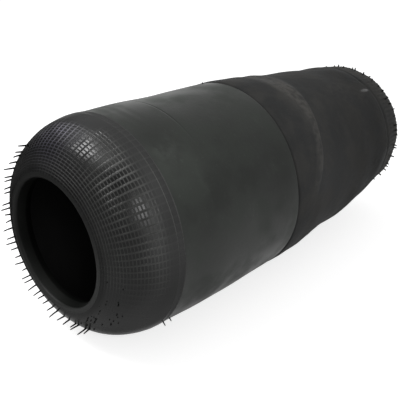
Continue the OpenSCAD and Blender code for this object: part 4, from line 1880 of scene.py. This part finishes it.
@dataclass(frozen=True)
class CordFinish:
    """Finish of rubbered fabric with cords laid at a slant, or of wound wire.

    Attributes:
        name: Name of the material.
        valley: Colour between the cords.
        crest: Colour on the cords.
        roughness: Roughness.
        metal: Metallic value.
        count: Cords round the axis.
        slant: Slant of the cords, in radians per metre along the axis.
        depth: Depth of the cords' bump.
        mark_scale: Size of the clouds, in waves per metre.
        spread: How much the clouds change the roughness.
    """

    name: str
    valley: tuple[float, float, float]
    crest: tuple[float, float, float]
    roughness: float
    metal: float
    count: float
    slant: float
    depth: float
    mark_scale: float = 30.0
    spread: float = 0.15

    def material(self, effects: Effects, axis_z: float) -> bpy.types.Material:
        """Builds the material.

        Args:
            effects: The shared node groups.
            axis_z: Height of the sleeve's axis.

        Returns:
            The material.
        """
        made = bpy.data.materials.new(self.name)
        graph = Graph.emptied(made)
        place = graph.node("ShaderNodeTexCoord").outputs["Object"]
        laid = {"Vector": place, "Count": self.count, "Slant": self.slant, "Axis Height": axis_z}
        height = graph.group(effects.threads, laid)["Height"]
        marks = graph.group(effects.marks, {"Vector": place, "Scale": self.mark_scale})
        colour = graph.mix(height, rgba(self.valley), rgba(self.crest))
        rough = graph.calc("MULTIPLY_ADD", marks["Cloud"], self.spread, self.roughness)
        bump = graph.node("ShaderNodeBump", {"Strength": 1.0, "Distance": self.depth, "Height": height})
        shader = graph.node("ShaderNodeBsdfPrincipled", {"Base Color": colour, "Roughness": rough})
        graph.feed(shader.inputs["Metallic"], self.metal)
        graph.feed(shader.inputs["Normal"], bump.outputs["Normal"])
        output = graph.node("ShaderNodeOutputMaterial")
        graph.feed(output.inputs["Surface"], shader.outputs["BSDF"])
        return made


class Finishes:
    """Every finish of the sleeve, as built materials."""

    def __init__(self, sleeve: Sleeve) -> None:
        """Builds the materials.

        Args:
            sleeve: Sizes of the sleeve.
        """
        effects = Effects()
        # The pale ridges of this rubber are partly real rubbing and partly painted light on ridges that
        # catch the light
        self.shoulder = RubberFinish(
            "ribbed_shoulder_rubber", dark=(0.0036, 0.0039, 0.0036), pale=(0.055, 0.056, 0.053),
            roughness=0.27, spread=0.06, gloss=0.31,
            clouds=0.05, wear_and_painted_light=0.62, raised_rough=0.3, depth=0.006 * MM, dulled=0.95,
        ).material(effects)
        self.lip = RubberFinish(
            "smooth_lip_rubber", dark=(0.0068, 0.0074, 0.0068), pale=(0.015, 0.015, 0.014),
            roughness=0.5, spread=0.08, gloss=0.2,
            clouds=0.3, dulled=0.95,
        ).material(effects)
        self.barrel = RubberFinish(
            "satin_barrel_rubber", dark=(0.003, 0.0048, 0.0028), pale=(0.027, 0.032, 0.027),
            roughness=0.46, spread=0.2, gloss=0.26,
            clouds=0.46, wear_and_painted_light=0.8, broken=0.6, depth=0.03 * MM, mark_scale=24.0, dulled=0.35,
        ).material(effects)
        self.matte = RubberFinish(
            "matte_taper_rubber", dark=(0.0062, 0.0066, 0.0067), pale=(0.041, 0.0395, 0.0365),
            roughness=0.7, spread=0.1, gloss=0.22,
            clouds=0.4, wear_and_painted_light=0.55, broken=0.62, depth=0.09 * MM, mark_scale=30.0, dulled=0.6,
            polish_at=self.polish_place(sleeve),
        ).material(effects)
        self.liner = RubberFinish(
            "liner_rubber", dark=(0.006, 0.006, 0.006), pale=(0.010, 0.010, 0.0095),
            roughness=0.62, spread=0.1, gloss=0.25, dulled=0.8,
        ).material(effects)
        self.filler = RubberFinish(
            "filler_rubber", dark=(0.010, 0.010, 0.010), pale=(0.018, 0.018, 0.017),
            roughness=0.55, spread=0.08, gloss=0.35,
        ).material(effects)
        self.whisker = RubberFinish(
            "whisker_rubber", dark=(0.004, 0.004, 0.004), pale=(0.007, 0.007, 0.007),
            roughness=0.55, spread=0.05, gloss=0.1,
            clouds=0.2, dulled=1.0,
        ).material(effects)
        axis = sleeve.axis_z
        self.ply = CordFinish(
            "laid_cord_ply", valley=(0.03, 0.027, 0.022), crest=(0.11, 0.095, 0.075),
            roughness=0.75, metal=0.0, count=620.0, slant=3600.0, depth=0.2 * MM,
        ).material(effects, axis)
        self.wrap = CordFinish(
            "bead_wrap_tape", valley=(0.11, 0.09, 0.065), crest=(0.3, 0.26, 0.2),
            roughness=0.85, metal=0.0, count=480.0, slant=0.0, depth=0.15 * MM,
        ).material(effects, axis)
        self.wire = CordFinish(
            "bead_wire_bronze", valley=(0.45, 0.31, 0.15), crest=(0.62, 0.46, 0.26),
            roughness=0.32, metal=1.0, count=90.0, slant=0.0, depth=0.02 * MM,
        ).material(effects, axis)

    @staticmethod
    def polish_place(sleeve: Sleeve) -> tuple[float, float, float]:
        """Place of the polished spot near the far shoulder, high on the side that faces -Y."""
        x, radius, side = 209.0 * MM, 111.0 * MM, math.radians(52.5)
        return x, -radius * math.cos(side), sleeve.axis_z + radius * math.sin(side)

    def dress_nodes(self, nodes: dict[str, bpy.types.Object]) -> None:
        """Gives each node that keeps its own mesh the material of its kind.

        Args:
            nodes: The frame's nodes.
        """
        kinds = {
            "bead_core": self.wire,
            "bead_wrap": self.wrap,
            "bead_filler": self.filler,
            "ply": self.ply,
            "liner": self.liner,
        }
        for name, node in nodes.items():
            chosen = next((m for word, m in kinds.items() if word in name), self.matte)
            node.data.materials.clear()
            node.data.materials.append(chosen)


@dataclass(frozen=True)
class Softbox:
    """One square studio light.

    Attributes:
        name: Name of the light.
        direction: Direction from the sleeve to the light.
        distance: Distance from the sleeve.
        size: Side of the square.
        power: Power in watts.
    """

    name: str
    direction: tuple[float, float, float]
    distance: float
    size: float
    power: float

    def build(self, target: Vector) -> None:
        """Hangs the light and points it at a place.

        Args:
            target: The place.
        """
        data = bpy.data.lights.new(self.name, "AREA")
        data.shape = "SQUARE"
        data.size = self.size
        data.energy = self.power
        lamp = bpy.data.objects.new(self.name, data)
        way = Vector(self.direction).normalized()
        lamp.location = target + way * self.distance
        lamp.rotation_euler = way.to_track_quat("Z", "Y").to_euler()
        bpy.context.scene.collection.objects.link(lamp)


@dataclass(frozen=True)
class Studio:
    """Pale floor, soft lights, white surroundings and the camera.

    Attributes:
        camera_place: Where the camera stands.
        camera_down: How far it looks below the horizon, in degrees.
        camera_turn: How far it is turned from +Y about Z, in degrees.
        lens: Focal length in millimetres.
        sensor: Width of the sensor in millimetres.
        fill: Strength of the surroundings where they light the object.
        floor_half: Half the side of the floor.
        floor_drop: How far the floor lies below the sleeve.
        floor_grey: Grey of the floor where lights reach it.
        floor_white: Share of white that the floor shows whatever lights it.
    """

    camera_place: tuple[float, float, float] = (-0.58603, -0.46605, 0.39290)
    camera_down: float = 22.671
    camera_turn: float = -47.405
    lens: float = 52.2
    sensor: float = 36.0
    fill: float = 0.5
    floor_half: float = 30.0
    floor_drop: float = 0.2 * MM
    floor_grey: float = 0.72
    floor_white: float = 0.72

    LIT_AT = (0.0, 0.0, 0.12)
    LIGHTS = (
        Softbox("softbox_over", (-0.44, 0.37, 0.82), distance=1.9, size=0.66, power=18.0),
        Softbox("softbox_front", (-0.46, -0.77, 0.45), distance=2.2, size=0.7, power=8.0),
    )

    def build(self) -> None:
        """Builds the studio."""
        for light in self.LIGHTS:
            light.build(Vector(self.LIT_AT))
        self.build_world()
        self.build_floor()
        self.build_camera()
        bpy.context.scene.view_settings.view_transform = "Standard"

    @staticmethod
    def seen_directly(graph: Graph) -> bpy.types.NodeSocket:
        """1 for rays from the camera, from gloss and through glass, and 0 for the rest."""
        path = graph.node("ShaderNodeLightPath")
        glossy = graph.calc("ADD", path.outputs["Is Camera Ray"], path.outputs["Is Glossy Ray"])
        total = graph.calc("ADD", glossy, path.outputs["Is Transmission Ray"])
        return graph.calc("MINIMUM", total, 1.0)

    def build_world(self) -> None:
        """White surroundings that light the object less than they show."""
        world = bpy.data.worlds.new("white_surroundings")
        graph = Graph.emptied(world)
        strength = graph.ramp(self.seen_directly(graph), 0.0, 1.0, self.fill, 1.0)
        background = graph.node("ShaderNodeBackground", {"Color": WHITE, "Strength": strength})
        output = graph.node("ShaderNodeOutputWorld")
        graph.feed(output.inputs["Surface"], background.outputs["Background"])
        bpy.context.scene.world = world

    def build_floor(self) -> None:
        """Pale floor just under the sleeve, which keeps the sleeve's soft shadow."""
        half, z = self.floor_half, -self.floor_drop
        corners = np.array([[-half, -half, z], [half, -half, z], [half, half, z], [-half, half, z]])
        floor = fill_mesh("pale_floor", corners, np.array([[0, 1, 2, 3]]))
        made = bpy.data.materials.new("pale_floor")
        graph = Graph.emptied(made)
        paint = graph.node("ShaderNodeBsdfDiffuse", {"Color": rgba((self.floor_grey,) * 3)})
        shown = graph.calc("MULTIPLY", self.seen_directly(graph), self.floor_white)
        glow = graph.node("ShaderNodeEmission", {"Color": WHITE, "Strength": shown})
        both = graph.node("ShaderNodeAddShader", {0: paint.outputs["BSDF"], 1: glow.outputs["Emission"]})
        output = graph.node("ShaderNodeOutputMaterial")
        graph.feed(output.inputs["Surface"], both.outputs["Shader"])
        floor.data.materials.append(made)

    def build_camera(self) -> None:
        """Camera at the photograph's viewing angle."""
        data = bpy.data.cameras.new("camera")
        data.lens = self.lens
        data.sensor_width = self.sensor
        camera = bpy.data.objects.new("camera", data)
        camera.location = self.camera_place
        tilt = math.radians(90.0 - self.camera_down)
        camera.rotation_euler = (tilt, 0.0, math.radians(self.camera_turn))
        bpy.context.scene.collection.objects.link(camera)
        bpy.context.scene.camera = camera


def main() -> None:
    """Builds the sleeve's pieces in order, then the studio."""
    logging.basicConfig(level=logging.INFO, format="%(message)s")
    sleeve = Sleeve.from_frame(frame["record"])
    shape = SleeveShape(sleeve)
    finishes = Finishes(sleeve)
    finishes.dress_nodes(frame["nodes"])
    pieces = [
        NearShoulder(sleeve).build(finishes.shoulder),
        LipRing.at_node(sleeve, "near_chafer", "near_end", -1).build(finishes.lip),
        LipRing.at_node(sleeve, "far_chafer", "far_end", 1).build(finishes.lip),
        BarrelSkin(sleeve, shape).build(finishes.barrel),
    ]
    waist_l, taper_l = sleeve.waist_x - sleeve.edge_x, sleeve.taper_x - sleeve.waist_x
    sections = [
        MatteSection(sleeve, shape, Section.WAIST, sleeve.edge_x + sleeve.seam, sleeve.waist_x, waist_l),
        MatteSection(sleeve, shape, Section.TAPER, sleeve.waist_x, sleeve.taper_x, taper_l),
        MatteSection(sleeve, shape, Section.FAR, sleeve.taper_x, sleeve.far_x, taper_l),
    ]
    for section in sections:
        pieces.append(section.build_cover(finishes.matte))
        pieces.append(section.build_layer(Layer.OUTER_PLY, finishes.ply, "cord_ply"))
        pieces.append(section.build_layer(Layer.INNER_PLY, finishes.ply, "cord_ply"))
        pieces.append(section.build_layer(Layer.LINER, finishes.liner, "liner_rubber"))
    vents = VentMarks(sleeve, shape)
    for whiskers in (vents.long_whiskers(), vents.near_stubs(), vents.far_stubs()):
        pieces.append(whiskers.build(finishes.whisker))
    for piece in pieces:
        log.info("%s: %d faces", piece.name, len(piece.data.polygons))
    Studio().build()


if __name__ == "__main__":
    main()
